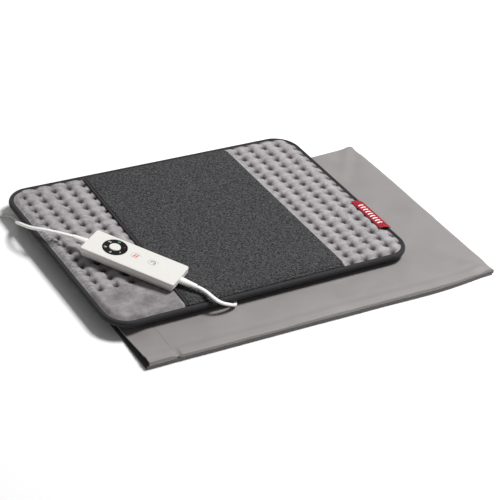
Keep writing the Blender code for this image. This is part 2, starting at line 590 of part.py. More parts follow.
# ---- leads: hand-chosen routes in the pad's frame, from the handset outwards ----
FEED_ROUTE = [
    (-0.0901, -0.1245, 0.0313), (-0.0871, -0.1290, 0.0311), (-0.0836, -0.1370, 0.0303),
    (-0.0815, -0.1450, 0.0292), (-0.0775, -0.1520, 0.0268), (-0.0715, -0.1548, 0.0237),
    (-0.0640, -0.1550, 0.0203), (-0.0575, -0.1536, 0.0168), (-0.0528, -0.1510, 0.0136),
    (-0.0492, -0.1465, 0.0122), (-0.0472, -0.1430, 0.0119),
]
MAINS_ROUTE = [
    (-0.1817, 0.0094, 0.0383), (-0.1852, 0.0142, 0.0380), (-0.1920, 0.0240, 0.0366),
    (-0.2030, 0.0400, 0.0336), (-0.2103, 0.0505, 0.0308), (-0.2142, 0.0600, 0.0281),
    (-0.2154, 0.0700, 0.0246), (-0.2151, 0.0800, 0.0203), (-0.2137, 0.0890, 0.0156),
    (-0.2110, 0.0970, 0.0110), (-0.2074, 0.1040, 0.0069), (-0.2047, 0.1100, 0.0040),
    (-0.2036, 0.1160, 0.0026), (-0.2050, 0.1222, 0.0023), (-0.2098, 0.1277, 0.0023),
    (-0.2165, 0.1307, 0.0024), (-0.2245, 0.1313, 0.0026), (-0.2345, 0.1314, 0.0028),
]
TAIL_ROUTE = [
    (-0.2978, 0.1935, 0.0060), (-0.2990, 0.2040, 0.0052), (-0.2975, 0.2140, 0.0050),
    (-0.2935, 0.2228, 0.0054), (-0.2875, 0.2295, 0.0061), (-0.2800, 0.2337, 0.0068),
    (-0.2713, 0.2353, 0.0072),
]


def make_leads():
    for name, route in (("feed_cord", FEED_ROUTE), ("mains_cord", MAINS_ROUTE), ("mains_tail", TAIL_ROUTE)):
        tube(name, smooth_route(route, 2 * CORD_WIDTH), CORD_RADIUS, WHITE_VINYL, pad_frame)
    inner = COIL_INNER_TURN - CORD_WIDTH / 2
    outer = COIL_OUTER_TURN + CORD_WIDTH / 2
    top = COIL_LOW + COIL_HEIGHT
    centre = (*COIL_CENTRE, 0)
    turned("mains_coil", centre, [(outer, COIL_LOW), (outer, top), (inner, top), (inner, COIL_LOW)],
           WHITE_VINYL, pad_frame, 40, ring=True)
    inside_face = math.sqrt(inner**2 - (TIE_WIDTH / 2) ** 2)
    wrap(inside_face - CLEARANCE, outer + CLEARANCE, COIL_LOW - CLEARANCE, top + CLEARANCE)


def wrap(inner, outer, low, top):
    """The tie: a flat band closed round the coil's section at one place."""
    spin = Matrix.Translation((*COIL_CENTRE, 0)) @ Matrix.Rotation(TIE_ANGLE, 4, "Z")
    thick = TIE_THICKNESS
    corners = [(inner, low), (outer, low), (outer, top), (inner, top)]
    outside = [(inner - thick, low - thick), (outer + thick, low - thick),
               (outer + thick, top + thick), (inner - thick, top + thick)]
    loops = []
    for across, reach in ((TIE_WIDTH / 2, corners), (-TIE_WIDTH / 2, corners),
                          (-TIE_WIDTH / 2, outside), (TIE_WIDTH / 2, outside)):
        loops.append([spin @ Vector((r, across, z)) for r, z in reach])
    loft("coil_tie", loops, TIE_BLACK, pad_frame, ring=True)


def make_plug():
    """A flat two-pin plug lying on its broad side; its X axis points along the pins."""
    frame = empty("plug_frame", (*PLUG_CENTRE, PLUG_THICKNESS / 2 + CLEARANCE), (0, 0, PLUG_TURN), pad_frame)
    stations = [(-0.5, PLUG_TAIL_WIDTH, 0.0085), (-0.25, 0.017, 0.0115), (0.1, 0.031, PLUG_THICKNESS),
                (0.42, PLUG_WIDTH, PLUG_THICKNESS), (0.5, PLUG_WIDTH - 0.003, PLUG_THICKNESS - 0.0015)]
    loops = []
    for share, width, thickness in stations:
        outline = rounded_outline(width, thickness, thickness / 2.2, 0, 4)
        loops.append([(share * PLUG_LENGTH, y, z) for y, z in outline])
    loft("plug_body", loops, WHITE_VINYL, frame)
    for name, side in (("plug_pin_left", 1), ("plug_pin_right", -1)):
        face = PLUG_LENGTH / 2 + CLEARANCE
        turned(name, (face, side * PIN_SPACING / 2, 0), [(PIN_RADIUS, 0), (PIN_RADIUS, PIN_LENGTH - 0.001),
               (PIN_RADIUS - 0.0008, PIN_LENGTH)], NICKEL, frame, 16, axis="X")


make_cover()
bottom_cover, filling_layers = make_layers()
make_binding()
housing_face = make_heater(filling_layers)
make_gland(bottom_cover, housing_face)
make_band()
make_label()
top_shell = make_shells()
make_reliefs()
make_keys(top_shell)
make_electronics()
make_leads()
make_plug()
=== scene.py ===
import math

import bmesh
import bpy
from mathutils import Euler, Matrix, Vector, noise


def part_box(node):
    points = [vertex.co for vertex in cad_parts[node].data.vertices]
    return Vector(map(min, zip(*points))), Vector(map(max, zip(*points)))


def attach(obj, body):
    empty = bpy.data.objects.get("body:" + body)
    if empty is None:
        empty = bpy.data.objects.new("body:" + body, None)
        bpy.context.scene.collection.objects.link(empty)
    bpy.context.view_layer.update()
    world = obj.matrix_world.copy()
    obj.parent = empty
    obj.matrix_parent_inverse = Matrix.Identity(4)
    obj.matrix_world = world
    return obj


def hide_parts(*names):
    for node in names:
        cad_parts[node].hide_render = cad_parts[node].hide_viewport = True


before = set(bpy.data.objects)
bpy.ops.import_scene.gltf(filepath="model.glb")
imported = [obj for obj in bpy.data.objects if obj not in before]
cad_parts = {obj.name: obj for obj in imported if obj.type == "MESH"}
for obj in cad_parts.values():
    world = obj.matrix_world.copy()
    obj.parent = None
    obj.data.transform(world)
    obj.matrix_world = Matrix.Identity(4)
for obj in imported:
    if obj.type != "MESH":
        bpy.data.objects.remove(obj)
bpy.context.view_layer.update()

# ---- Studio ----
# A sheet of white paper under one soft lamp to the right of the pad, with pale fill from all round.
# Every place is worked out from the middle of the pad's bound edge.
rim_low, rim_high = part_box("edge_binding")
PAD = Vector(((rim_low.x + rim_high.x) / 2, (rim_low.y + rim_high.y) / 2, 0))


def linear(code):
    """An sRGB hex colour as linear numbers."""
    parts = [int(code[i:i + 2], 16) / 255 for i in (1, 3, 5)]
    return tuple(c / 12.92 if c <= 0.04045 else ((c + 0.055) / 1.055) ** 2.4 for c in parts) + (1.0,)


def add(tree, kind, inputs=None, **settings):
    """Adds a node. Settings are its properties; inputs hold values, or the sockets that feed them."""
    made = tree.nodes.new(kind)
    for name, value in settings.items():
        setattr(made, name, value)
    for key, value in (inputs or {}).items():
        if isinstance(value, bpy.types.NodeSocket):
            tree.links.new(value, made.inputs[key])
        else:
            made.inputs[key].default_value = value
    return made


def new_material(name, colour, roughness, **sockets):
    """A material with its shader; sockets are named with underscores for spaces."""
    made = bpy.data.materials.new(name)
    made.use_nodes = True
    shader = made.node_tree.nodes["Principled BSDF"]
    shader.inputs["Base Color"].default_value = linear(colour)
    shader.inputs["Roughness"].default_value = roughness
    for key, value in sockets.items():
        shader.inputs[key.replace("_", " ")].default_value = value
    return made, made.node_tree, shader


def mottle(tree, shader, place, colours, millimetres):
    """Soft patches of two colours, this many millimetres across."""
    patches = add(tree, "ShaderNodeTexNoise", {"Vector": place, "Scale": 1000 / millimetres, "Detail": 3.0})
    one, other = (linear(code) for code in colours)
    blend = add(tree, "ShaderNodeMix", {0: patches.outputs["Fac"], 6: one, 7: other}, data_type="RGBA")
    tree.links.new(blend.outputs[2], shader.inputs["Base Color"])


def mesh_piece(name, points, faces, finish, smooth_angle=None):
    made = bpy.data.meshes.new(name)
    made.from_pydata([tuple(p) for p in points], [], faces)
    made.validate()
    shape = bmesh.new()
    shape.from_mesh(made)
    bmesh.ops.recalc_face_normals(shape, faces=shape.faces)
    shape.to_mesh(made)
    shape.free()
    made.shade_smooth()
    if smooth_angle:
        made.set_sharp_from_angle(angle=math.radians(smooth_angle))
    piece = bpy.data.objects.new(name, made)
    bpy.context.scene.collection.objects.link(piece)
    made.materials.append(finish)
    return piece


# Matt white card: it shows soft shadows and hardly any gloss. It lies just under everything.
PAPER_SIDE, PAPER_LEVEL = 8.0, -0.0004
paper, tree, shader = new_material("white_background_paper", "#f9f9f9", 0.9, Specular_IOR_Level=0.2)
place = add(tree, "ShaderNodeTexCoord").outputs["Object"]
mottle(tree, shader, place, ("#f8f8f8", "#fafafa"), 30)
half = PAPER_SIDE / 2
paper_corners = [(x * half, y * half, PAPER_LEVEL) for x, y in ((-1, -1), (1, -1), (1, 1), (-1, 1))]
floor = mesh_piece("studio_floor", paper_corners, [(0, 1, 2, 3)], paper)

CAMERA_PLACE = Vector((-0.9389, -1.3635, 1.0897))
CAMERA_HEADING, CAMERA_DIP, CAMERA_ROLL = math.radians(36.47), math.radians(33.60), math.radians(8.66)
CAMERA_LENS, CAMERA_SENSOR = 115.66, 36.0
camera = bpy.data.objects.new("studio_camera", bpy.data.cameras.new("studio_camera"))
camera.data.lens = CAMERA_LENS
camera.data.sensor_width = CAMERA_SENSOR
flat_right = Vector((math.cos(CAMERA_HEADING), -math.sin(CAMERA_HEADING), 0))
forward = Vector((math.cos(CAMERA_DIP) * math.sin(CAMERA_HEADING),
                  math.cos(CAMERA_DIP) * math.cos(CAMERA_HEADING), -math.sin(CAMERA_DIP)))
flat_up = flat_right.cross(forward)
right = flat_right * math.cos(CAMERA_ROLL) + flat_up * math.sin(CAMERA_ROLL)
up = flat_up * math.cos(CAMERA_ROLL) - flat_right * math.sin(CAMERA_ROLL)
facing = Matrix((right, up, -forward)).transposed().to_4x4()
camera.matrix_world = Matrix.Translation(PAD + CAMERA_PLACE) @ facing
bpy.context.scene.collection.objects.link(camera)
bpy.context.scene.camera = camera
bpy.context.scene.view_settings.view_transform = "Standard"

# Each lamp: the way it lies from the pad, its distance and side in metres, and its power in watts.
LAMPS = (
    ("key_lamp", Vector((0.45, -0.060, 0.891)), 2.4, 0.70, 69.0),
    ("back_lamp", Vector((0.15, 0.85, 0.50)), 2.2, 1.2, 5.0),
)
ROOM_LIGHT = 0.20
for lamp_name, direction, distance, side, power in LAMPS:
    lamp = bpy.data.lights.new(lamp_name, "AREA")
    lamp.shape, lamp.size, lamp.energy = "SQUARE", side, power
    holder = bpy.data.objects.new(lamp_name, lamp)
    holder.location = PAD + direction.normalized() * distance
    holder.rotation_euler = direction.to_track_quat("Z", "Y").to_euler()
    bpy.context.scene.collection.objects.link(holder)
room = bpy.data.worlds.new("pale_room")
room.use_nodes = True
room.node_tree.nodes["Background"].inputs["Color"].default_value = (1, 1, 1, 1)
room.node_tree.nodes["Background"].inputs["Strength"].default_value = ROOM_LIGHT
bpy.context.scene.world = room


# ---- Leads, coil and plug ----
# Flat two-core lead in white PVC, extruded as two cores side by side with a groove between them.
# One lead runs from the handset into the pad, the other to the wall plug, wound and tied for storage.
LEAD_WIDTH, LEAD_THICKNESS = 0.0052, 0.0033
FEED_ROUTE = [
    (-0.0901, -0.1245, 0.0313), (-0.0871, -0.1290, 0.0311), (-0.0836, -0.1370, 0.0303),
    (-0.0815, -0.1450, 0.0292), (-0.0775, -0.1520, 0.0268), (-0.0715, -0.1548, 0.0237),
    (-0.0640, -0.1550, 0.0203), (-0.0575, -0.1536, 0.0168), (-0.0528, -0.1510, 0.0136),
    (-0.0492, -0.1465, 0.0122), (-0.0472, -0.1430, 0.0119),
]
MAINS_ROUTE = [
    (-0.1817, 0.0094, 0.0383), (-0.1852, 0.0142, 0.0380), (-0.1920, 0.0240, 0.0366),
    (-0.2030, 0.0400, 0.0336), (-0.2103, 0.0505, 0.0308), (-0.2142, 0.0600, 0.0281),
    (-0.2154, 0.0700, 0.0246), (-0.2151, 0.0800, 0.0203), (-0.2137, 0.0890, 0.0156),
    (-0.2110, 0.0970, 0.0110), (-0.2074, 0.1040, 0.0069), (-0.2047, 0.1100, 0.0040),
    (-0.2036, 0.1160, 0.0026), (-0.2050, 0.1222, 0.0023), (-0.2098, 0.1277, 0.0023),
    (-0.2165, 0.1307, 0.0024), (-0.2245, 0.1313, 0.0026), (-0.2345, 0.1314, 0.0028),
]
TAIL_ROUTE = [
    (-0.2978, 0.1935, 0.0060), (-0.2990, 0.2040, 0.0052), (-0.2975, 0.2140, 0.0050),
    (-0.2935, 0.2228, 0.0054), (-0.2875, 0.2295, 0.0061), (-0.2800, 0.2337, 0.0068),
    (-0.2713, 0.2353, 0.0072),
]
coil_low, coil_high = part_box("mains_coil")
COIL_MIDDLE = (coil_low + coil_high) / 2
COIL_OUTER = (coil_high.x - coil_low.x) / 2 - LEAD_WIDTH / 2
COIL_COLUMNS, TURN_POINTS, ROUTE_STEPS = 5, 36, 24
ROW_LOW = coil_low.z + LEAD_THICKNESS / 2
ROW_HIGH = coil_high.z - LEAD_THICKNESS / 2 - 0.0002


def eased(value):
    """0 to 1 with soft ends."""
    t = min(1.0, max(0.0, value))
    return t * t * (3 - 2 * t)


def smooth_route(points, spacing):
    """Evenly spaced points on one smooth curve through the listed ones."""
    route = [Vector(p) for p in points]
    ends = [2 * route[0] - route[1]] + route + [2 * route[-1] - route[-2]]
    fine = []
    for a, b, c, d in zip(ends, ends[1:], ends[2:], ends[3:]):
        for step in range(ROUTE_STEPS):
            t = step / ROUTE_STEPS
            along = 2 * b + (c - a) * t + (2 * a - 5 * b + 4 * c - d) * t**2 + (3 * b - a - 3 * c + d) * t**3
            fine.append(along / 2)
    fine.append(route[-1])
    kept, travelled = [fine[0]], 0.0
    for p, q in zip(fine, fine[1:]):
        travelled += (q - p).length
        if travelled >= spacing:
            kept.append(q)
            travelled = 0.0
    kept[-1] = fine[-1]
    return kept


def coil_route():
    """Five turns side by side working inwards on the lower row, then back out on the upper row."""
    points = []
    last = COIL_COLUMNS - 1
    turns = 2 * last + 1.25
    count = round(turns * TURN_POINTS)
    for step in range(count + 1):
        turn = turns * step / count
        whole, part = int(turn), turn - int(turn)
        if whole <= last:
            column = min(last, whole + eased((part - 0.85) / 0.15))
        else:
            column = last - (whole - last - 1) - eased((part - 0.60) / 0.15)
        climb = eased((turn - last - 0.55) / 0.25)
        radius = COIL_OUTER - LEAD_WIDTH * max(0.0, column)
        angle = math.radians(-90) - 2 * math.pi * turn
        points.append(Vector((COIL_MIDDLE.x + radius * math.cos(angle),
                              COIL_MIDDLE.y + radius * math.sin(angle),
                              ROW_LOW + (ROW_HIGH - ROW_LOW) * climb)))
    return points


def lead_section():
    """The flat section: two round cores joined side by side."""
    core = LEAD_THICKNESS / 2
    apart = LEAD_WIDTH / 2 - core
    turn_off = math.acos(apart / core)
    outline = []
    for side in (1, -1):
        for step in range(9):
            angle = (math.pi - turn_off) * (step / 4 - 1)
            outline.append((side * (apart + core * math.cos(angle)), side * core * math.sin(angle)))
    return outline


def sweep_lead(name, points, finish):
    """The flat section carried along the route with its broad side level."""
    section = lead_section()
    count = len(section)
    shape, faces = [], []
    for index, spot in enumerate(points):
        ahead = (points[min(index + 1, len(points) - 1)] - points[max(index - 1, 0)]).normalized()
        across = ahead.cross(Vector((0, 0, 1))).normalized()
        over = across.cross(ahead)
        shape += [spot + across * a + over * b for a, b in section]
    for index in range(len(points) - 1):
        base = index * count
        faces += [(base + i, base + (i + 1) % count, base + count + (i + 1) % count, base + count + i)
                  for i in range(count)]
    faces += [tuple(range(count)), tuple(range(len(shape) - count, len(shape)))]
    return mesh_piece(name, shape, faces, finish, 60)


def raise_surface(tree, shader, height, depth, strength=1.0):
    """Bump of this depth in metres; it goes on top of any bump the shader has already."""
    bump = add(tree, "ShaderNodeBump", {"Height": height, "Distance": depth, "Strength": strength})
    if shader.inputs["Normal"].is_linked:
        tree.links.new(shader.inputs["Normal"].links[0].from_socket, bump.inputs["Normal"])
    tree.links.new(bump.outputs["Normal"], shader.inputs["Normal"])


def roughen(tree, shader, place, millimetres, depth, detail=2.0, strength=1.0):
    """An uneven grain, this many millimetres across and this many metres deep."""
    grain = add(tree, "ShaderNodeTexNoise", {"Vector": place, "Scale": 1000 / millimetres, "Detail": detail})
    raise_surface(tree, shader, grain.outputs["Fac"], depth, strength)


# Plasticised PVC: soft gloss with a slightly uneven extruded skin.
lead_vinyl, tree, shader = new_material("white_pvc_lead_extruded", "#f1efec", 0.36, IOR=1.53)
place = add(tree, "ShaderNodeTexCoord").outputs["Object"]
mottle(tree, shader, place, ("#efedea", "#f6f4f2"), 9)
roughen(tree, shader, place, 0.8, 0.00003)

feed_points = [PAD + p for p in smooth_route(FEED_ROUTE, LEAD_THICKNESS)]
feed_lead = sweep_lead("feed_lead", feed_points, lead_vinyl)
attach(feed_lead, "pad")
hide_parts("feed_cord")

pin_left, pin_right = [sum(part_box(f"plug_pin_{side}"), Vector()) / 2 for side in ("left", "right")]
PLUG_LENGTH, PIN_LENGTH, PIN_GAP = 0.030, 0.019, 0.0003
plug_across = (pin_left - pin_right).normalized()
plug_along = plug_across.cross(Vector((0, 0, 1)))
plug_middle = (pin_left + pin_right) / 2 - plug_along * (PLUG_LENGTH / 2 + PIN_GAP + PIN_LENGTH / 2)
plug_place = Matrix((plug_along, plug_across, Vector((0, 0, 1)))).transposed().to_4x4()
plug_place = Matrix.Translation(plug_middle) @ plug_place

mains_points = [PAD + p for p in smooth_route(MAINS_ROUTE, LEAD_THICKNESS)] + coil_route()[2:]
mains_points += [PAD + p for p in smooth_route(TAIL_ROUTE, LEAD_THICKNESS)]
mains_lead = sweep_lead("mains_lead", mains_points, lead_vinyl)
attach(mains_lead, "pad")
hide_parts("mains_cord", "mains_coil", "mains_tail")


def loft(name, loops, finish, ring=False, smooth_angle=None):
    """One closed body through loops of points, capped at both ends or joined end to end."""
    count = len(loops[0])
    points = [p for loop in loops for p in loop]
    faces = []
    for row in range(len(loops) if ring else len(loops) - 1):
        a, b = row * count, (row + 1) % len(loops) * count
        faces += [(a + i, a + (i + 1) % count, b + (i + 1) % count, b + i) for i in range(count)]
    if not ring:
        faces += [tuple(range(count)), tuple(range(len(points) - count, len(points)))]
    return mesh_piece(name, points, faces, finish, smooth_angle)


def rounded_path(length, depth, radius, inset=0.0, arc=10, long_steps=1, short_steps=1):
    """Points round a rectangle with round corners, drawn in by inset; any inset gives the same count."""
    bend = max(radius - inset, 0.0003)
    corners = []
    for index, (side_x, side_y) in enumerate(((1, 1), (-1, 1), (-1, -1), (1, -1))):
        middle = (side_x * (length / 2 - inset - bend), side_y * (depth / 2 - inset - bend))
        angles = [math.radians(90) * (index + step / arc) for step in range(arc + 1)]
        corners.append([(middle[0] + bend * math.cos(a), middle[1] + bend * math.sin(a)) for a in angles])
    points = []
    for index, corner in enumerate(corners):
        points += corner
        start, stop = corner[-1], corners[(index + 1) % 4][0]
        steps = long_steps if index % 2 == 0 else short_steps
        for step in range(1, steps):
            share = step / steps
            points.append((start[0] + (stop[0] - start[0]) * share, start[1] + (stop[1] - start[1]) * share))
    return points


def placed(matrix, points):
    return [matrix @ Vector(p) for p in points]


# The plug's body is one soft PVC moulding: a waisted grip that widens to the pin face.
# Each station: its share of the length, and the width and thickness there.
PLUG_STATIONS = (
    (-0.50, 0.0085, 0.0070), (-0.49, 0.0092, 0.0082), (-0.40, 0.0112, 0.0094), (-0.28, 0.0158, 0.0110),
    (-0.10, 0.0240, 0.0130), (0.10, 0.0308, 0.0137), (0.30, 0.0342, 0.0137), (0.42, 0.0353, 0.0137),
    (0.47, 0.0348, 0.0134), (0.50, 0.0325, 0.0120),
)
plug_loops = []
for share, width, thickness in PLUG_STATIONS:
    outline = rounded_path(width, thickness, thickness / 2.15, arc=8)
    plug_loops.append(placed(plug_place, [(share * PLUG_LENGTH, y, z) for y, z in outline]))
plug_moulding = loft("plug_moulding", plug_loops, lead_vinyl, smooth_angle=40)
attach(plug_moulding, "pad")
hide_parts("plug_body")

# Drawn brass pins, nickel plated: bright, with fine turning marks.
nickel, tree, shader = new_material("nickel_plated_brass_turned", "#cfc9bd", 0.22, Metallic=1.0)
place = add(tree, "ShaderNodeTexCoord").outputs["Object"]
roughen(tree, shader, place, 0.5, 0.00001)

# The tie is brushed nylon hook-and-loop tape, matt black with a hairy loop face.
loop_tape, tree, shader = new_material("nylon_hook_and_loop_tape", "#222222", 0.95, Sheen_Weight=0.4)
place = add(tree, "ShaderNodeTexCoord").outputs["Object"]
mottle(tree, shader, place, ("#1a1a1a", "#2c2c2c"), 1.2)
tape_loops = add(tree, "ShaderNodeTexVoronoi", {"Vector": place, "Scale": 1000 / 0.9})
raise_surface(tree, shader, tape_loops.outputs["Distance"], 0.0003)
TIE_WIDTH, TIE_THICKNESS, TIE_TURN = 0.014, 0.0008, math.radians(45)
TIE_ROOM_ACROSS, TIE_ROOM_UP, TIE_SHIFT_IN, TIE_BEND = 0.0030, 0.0006, 0.0006, 0.0022
coil_inner = COIL_OUTER - (COIL_COLUMNS - 1) * LEAD_WIDTH - LEAD_WIDTH / 2
coil_outer = COIL_OUTER + LEAD_WIDTH / 2
section_middle = ((coil_inner + coil_outer) / 2 - TIE_SHIFT_IN, (coil_low.z + coil_high.z) / 2)
section_size = (coil_outer - coil_inner + TIE_ROOM_ACROSS, coil_high.z - coil_low.z + TIE_ROOM_UP)
tie_spin = Matrix.Translation(Vector((COIL_MIDDLE.x, COIL_MIDDLE.y, 0))) @ Matrix.Rotation(TIE_TURN, 4, "Z")
tie_loops = []
for across, grow in ((-0.5, 0), (0.5, 0), (0.5, 1), (-0.5, 1)):
    size = [s + 2 * grow * TIE_THICKNESS for s in section_size]
    outline = rounded_path(*size, TIE_BEND + grow * TIE_THICKNESS, arc=6)
    tie_loops.append(placed(tie_spin, [(section_middle[0] + r, across * TIE_WIDTH, section_middle[1] + z)
                                       for r, z in outline]))
tie_strap = loft("tie_strap", tie_loops, loop_tape, ring=True, smooth_angle=40)
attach(tie_strap, "pad")
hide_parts("coil_tie")


# ---- Slip cover ----
# A plain bag of grey satin-weave polyester, open at the left end: two cloths sewn together along the front,
# the back and the right end, turned right side out, so each sewn edge is a soft roll over a seam groove.
COVER_LENGTH, COVER_DEPTH, COVER_TURN = 0.490, 0.314, math.radians(-0.6)
SEAM_HEIGHT, COVER_TOP, COVER_CLOTH, HEM_FOLD, HEM_WIDTH = 0.0054, 0.0095, 0.0010, 0.0008, 0.035
SEAM_DRAW, SEAM_REACH, MOUTH_STEP, TIP_RISE_BACK, TIP_RISE_FRONT = 0.0018, 0.0026, 0.0025, 0.0085, 0.0060
FRONT_ROLL, BACK_ROLL, END_ROLL, LOWER_ROLL, MOUTH_ROLL_LOSS = 0.0050, 0.0060, 0.0085, 0.0042, 0.0028
TUCK_PLACE, TUCK_WIDTH, TUCK_DEPTH, TUCK_PULL = -0.2085, 0.0017, 0.0034, 0.0020
PUFF_PLACE, PUFF_HEIGHT, MOUTH_SAG = -0.2190, 0.0008, 0.85
cover_low, cover_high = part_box("cover_lower_panel")
COVER = Vector(((cover_low.x + cover_high.x) / 2, (cover_low.y + cover_high.y) / 2, 0))
cover_place = Matrix.Translation(COVER) @ Matrix.Rotation(COVER_TURN, 4, "Z")
PAD_SIZE = (0.420, 0.297, 0.032)


def edge_steps(length, coarse):
    """Stations along a side: close together near both ends, where the cloth rolls over."""
    near = [0, 0.0002, 0.0005, 0.0010, 0.0016, 0.0024, 0.0034,
            0.0046, 0.0060, 0.0076, 0.0094, 0.0114, 0.0136, 0.016]
    middle = length - 2 * near[-1]
    count = round(middle / coarse)
    return ([d - length / 2 for d in near]
            + [near[-1] - length / 2 + middle * i / count for i in range(1, count)]
            + [length / 2 - d for d in reversed(near)])


def ridge(distance, width):
    return math.exp(-(distance / width) ** 2)


def roll_over(distance, radius):
    """0 at a sewn edge and 1 past this radius, round between."""
    share = min(1.0, max(0.0, distance / radius))
    return math.sqrt(max(0.0, 1 - (1 - share) ** 2))


def pad_inset(x, y):
    """How far a point is inside the pad's outline; below zero outside it."""
    length, depth, corner = PAD_SIZE
    over_x = abs(x) - (length / 2 - corner)
    over_y = abs(y) - (depth / 2 - corner)
    if over_x > 0 and over_y > 0:
        return corner - math.hypot(over_x, over_y)
    return min(length / 2 - abs(x), depth / 2 - abs(y))


def from_edges(u, v):
    """Distances from the front, back and right-hand edges of the cover."""
    return v + COVER_DEPTH / 2, COVER_DEPTH / 2 - v, COVER_LENGTH / 2 - u


def drawn_in(distance):
    """How far the thread draws the cloth in, this far from a sewn edge."""
    return SEAM_DRAW * (1 - min(1.0, distance / SEAM_REACH)) ** 2


def tip_fold(u, v):
    """Height added near the two right-hand corners: the cloth flattens to the tip and creases along it."""
    change = 0.0
    for side in (-1, 1):
        off_u = COVER_LENGTH / 2 - u
        off_v = COVER_DEPTH / 2 - side * v
        out = math.hypot(off_u, off_v)
        skew = (off_u - off_v) / math.sqrt(2)
        fade = math.exp(-out / 0.050)
        change += fade * (0.0026 * ridge(skew - 0.004, 0.006) - 0.0026 * ridge(skew + 0.008, 0.007)
                          - 0.0022 * ridge(skew - 0.018, 0.009))
    return change


def edge_shift(u, v):
    """How far the sewn outline wanders from a rectangle: bowed right end, and tips drawn towards the back."""
    front, back, end = from_edges(u, v)
    bow = 0.0022 * (1 - (2 * v / COVER_DEPTH) ** 2) * eased((u - 0.19) / 0.055)
    sway = 0.0012 * noise.noise(Vector((u * 11, 4.0, 0))) * ridge(front, 0.03)
    tip_back = math.exp(-(math.hypot(end, back) / 0.055) ** 2)
    tip_front = math.exp(-(math.hypot(end, front) / 0.050) ** 2)
    back_shift = TIP_RISE_BACK * tip_back + TIP_RISE_FRONT * tip_front
    return Vector((-drawn_in(end) - bow - 0.0030 * tip_back,
                   drawn_in(front) - drawn_in(back) + sway + back_shift, 0))


def upper_cloth_point(u, v):
    front, back, end = from_edges(u, v)
    open_end = eased((-0.195 - u) / 0.03)
    roll = roll_over(front, FRONT_ROLL - MOUTH_ROLL_LOSS * open_end)
    roll *= roll_over(back, BACK_ROLL) * roll_over(end, END_ROLL)
    tip = min(math.hypot(end, front), math.hypot(end, back))
    full = 1 - 0.50 * math.exp(-tip / 0.030)
    spot = cover_place @ Vector((u, v, 0))
    inset = pad_inset(spot.x - PAD.x, spot.y - PAD.y)
    bare = eased((0.004 - inset) / 0.014)
    lift = (COVER_TOP - SEAM_HEIGHT) * full
    wave = noise.noise(Vector((u * 14, v * 22, 0.3))) + 0.5 * noise.noise(Vector((u * 38, v * 45, 1.7)))
    relief = bare * (0.0015 * wave + tip_fold(u, v))
    relief += bare * 0.0006 * ridge(front - 0.0105, 0.0030) - bare * 0.0005 * ridge(front - 0.0175, 0.0035)
    tuck = ridge(u - TUCK_PLACE, TUCK_WIDTH) * ridge(front - 0.003, 0.009)
    puff = ridge(u - PUFF_PLACE, 0.0060) * ridge(front - 0.008, 0.010)
    sag = MOUTH_SAG * eased((-0.218 - u) / 0.027) * eased((front - 0.006) / 0.045)
    height = SEAM_HEIGHT + lift * roll * (1 - sag) + relief * roll - TUCK_DEPTH * tuck + PUFF_HEIGHT * puff
    if inset > -0.002:
        height = min(height, COVER_TOP)
    return Vector((u, v + TUCK_PULL * tuck, height)) + edge_shift(u, v)


def lower_cloth_point(u, v):
    front, back, end = from_edges(u, v)
    roll = roll_over(front, LOWER_ROLL) * roll_over(back, LOWER_ROLL) * roll_over(end, LOWER_ROLL)
    height = (SEAM_HEIGHT - 0.0009) * (1 - roll) + 0.00005
    longer = MOUTH_STEP * eased((-0.205 - u) / 0.04)
    return Vector((u - longer, v, height)) + edge_shift(u, v)


def grid(across, down):
    """The faces of a grid of points given row by row, and the points round its rim in order."""
    faces = []
    for r in range(down - 1):
        for c in range(across - 1):
            a = r * across + c
            faces.append((a, a + 1, a + across + 1, a + across))
    rim = (list(range(across)) + [r * across + across - 1 for r in range(1, down)]
           + [(down - 1) * across + c for c in range(across - 2, -1, -1)]
           + [r * across for r in range(down - 2, 0, -1)])
    return faces, rim


def cloth(name, rows, thickness, finish, above, smooth_angle=None):
    """A closed sheet from rows of points, with its thickness above or below them."""
    points = [p for row in rows for p in row]
    total = len(points)
    faces, rim = grid(len(rows[0]), len(rows))
    faces += [tuple(total + i for i in reversed(face)) for face in faces]
    faces += [(a, b, total + b, total + a) for a, b in zip(rim, rim[1:] + rim[:1])]
    side = 1 if above else -1
    points += [p + Vector((0, 0, side * thickness(p))) for p in points]
    return mesh_piece(name, points, faces, finish, smooth_angle)


WAVE_BAND = 1 / 3.1416  # metres between the bands of a wave texture whose scale is 1


def satin_material(name, colours):
    """Warp-faced polyester satin: silky, with fine ribs across and along."""
    made, tree, shader = new_material(name, colours[0], 0.58, Sheen_Weight=0.12, Sheen_Roughness=0.4,
                                      Specular_IOR_Level=0.35)
    place = add(tree, "ShaderNodeTexCoord").outputs["Object"]
    mottle(tree, shader, place, colours, 45)
    turned = add(tree, "ShaderNodeMapping", {"Vector": place, "Rotation": (0, 0, -COVER_TURN)})
    # The threads are far finer; ribs about 1.1 and 1.4 mm apart are as fine as shows.
    warp, weft = [add(tree, "ShaderNodeTexWave", {"Vector": turned.outputs["Vector"], "Distortion": 0.6,
                                                  "Scale": 1000 / spacing * WAVE_BAND}, bands_direction=way)
                  for spacing, way in ((1.1, "Y"), (1.4, "X"))]
    weave = add(tree, "ShaderNodeMath", {0: warp.outputs["Fac"], 1: weft.outputs["Fac"]},
                operation="MULTIPLY")
    raise_surface(tree, shader, weave.outputs["Value"], 0.00006, 0.7)
    # Slack in the cloth: shallow waves about 28 mm across.
    roughen(tree, shader, place, 28, 0.0006, strength=0.6)
    return made


satin = satin_material("polyester_satin_face_out", ("#817d7c", "#908c8b"))
# The lower cloth is the same satin painted darker: painted shade where it curves in under the rolled edge.
satin_painted_shade = satin_material("polyester_satin_painted_shade", ("#565251", "#605c5b"))
place_u, place_v = edge_steps(COVER_LENGTH, 0.0030), edge_steps(COVER_DEPTH, 0.0026)


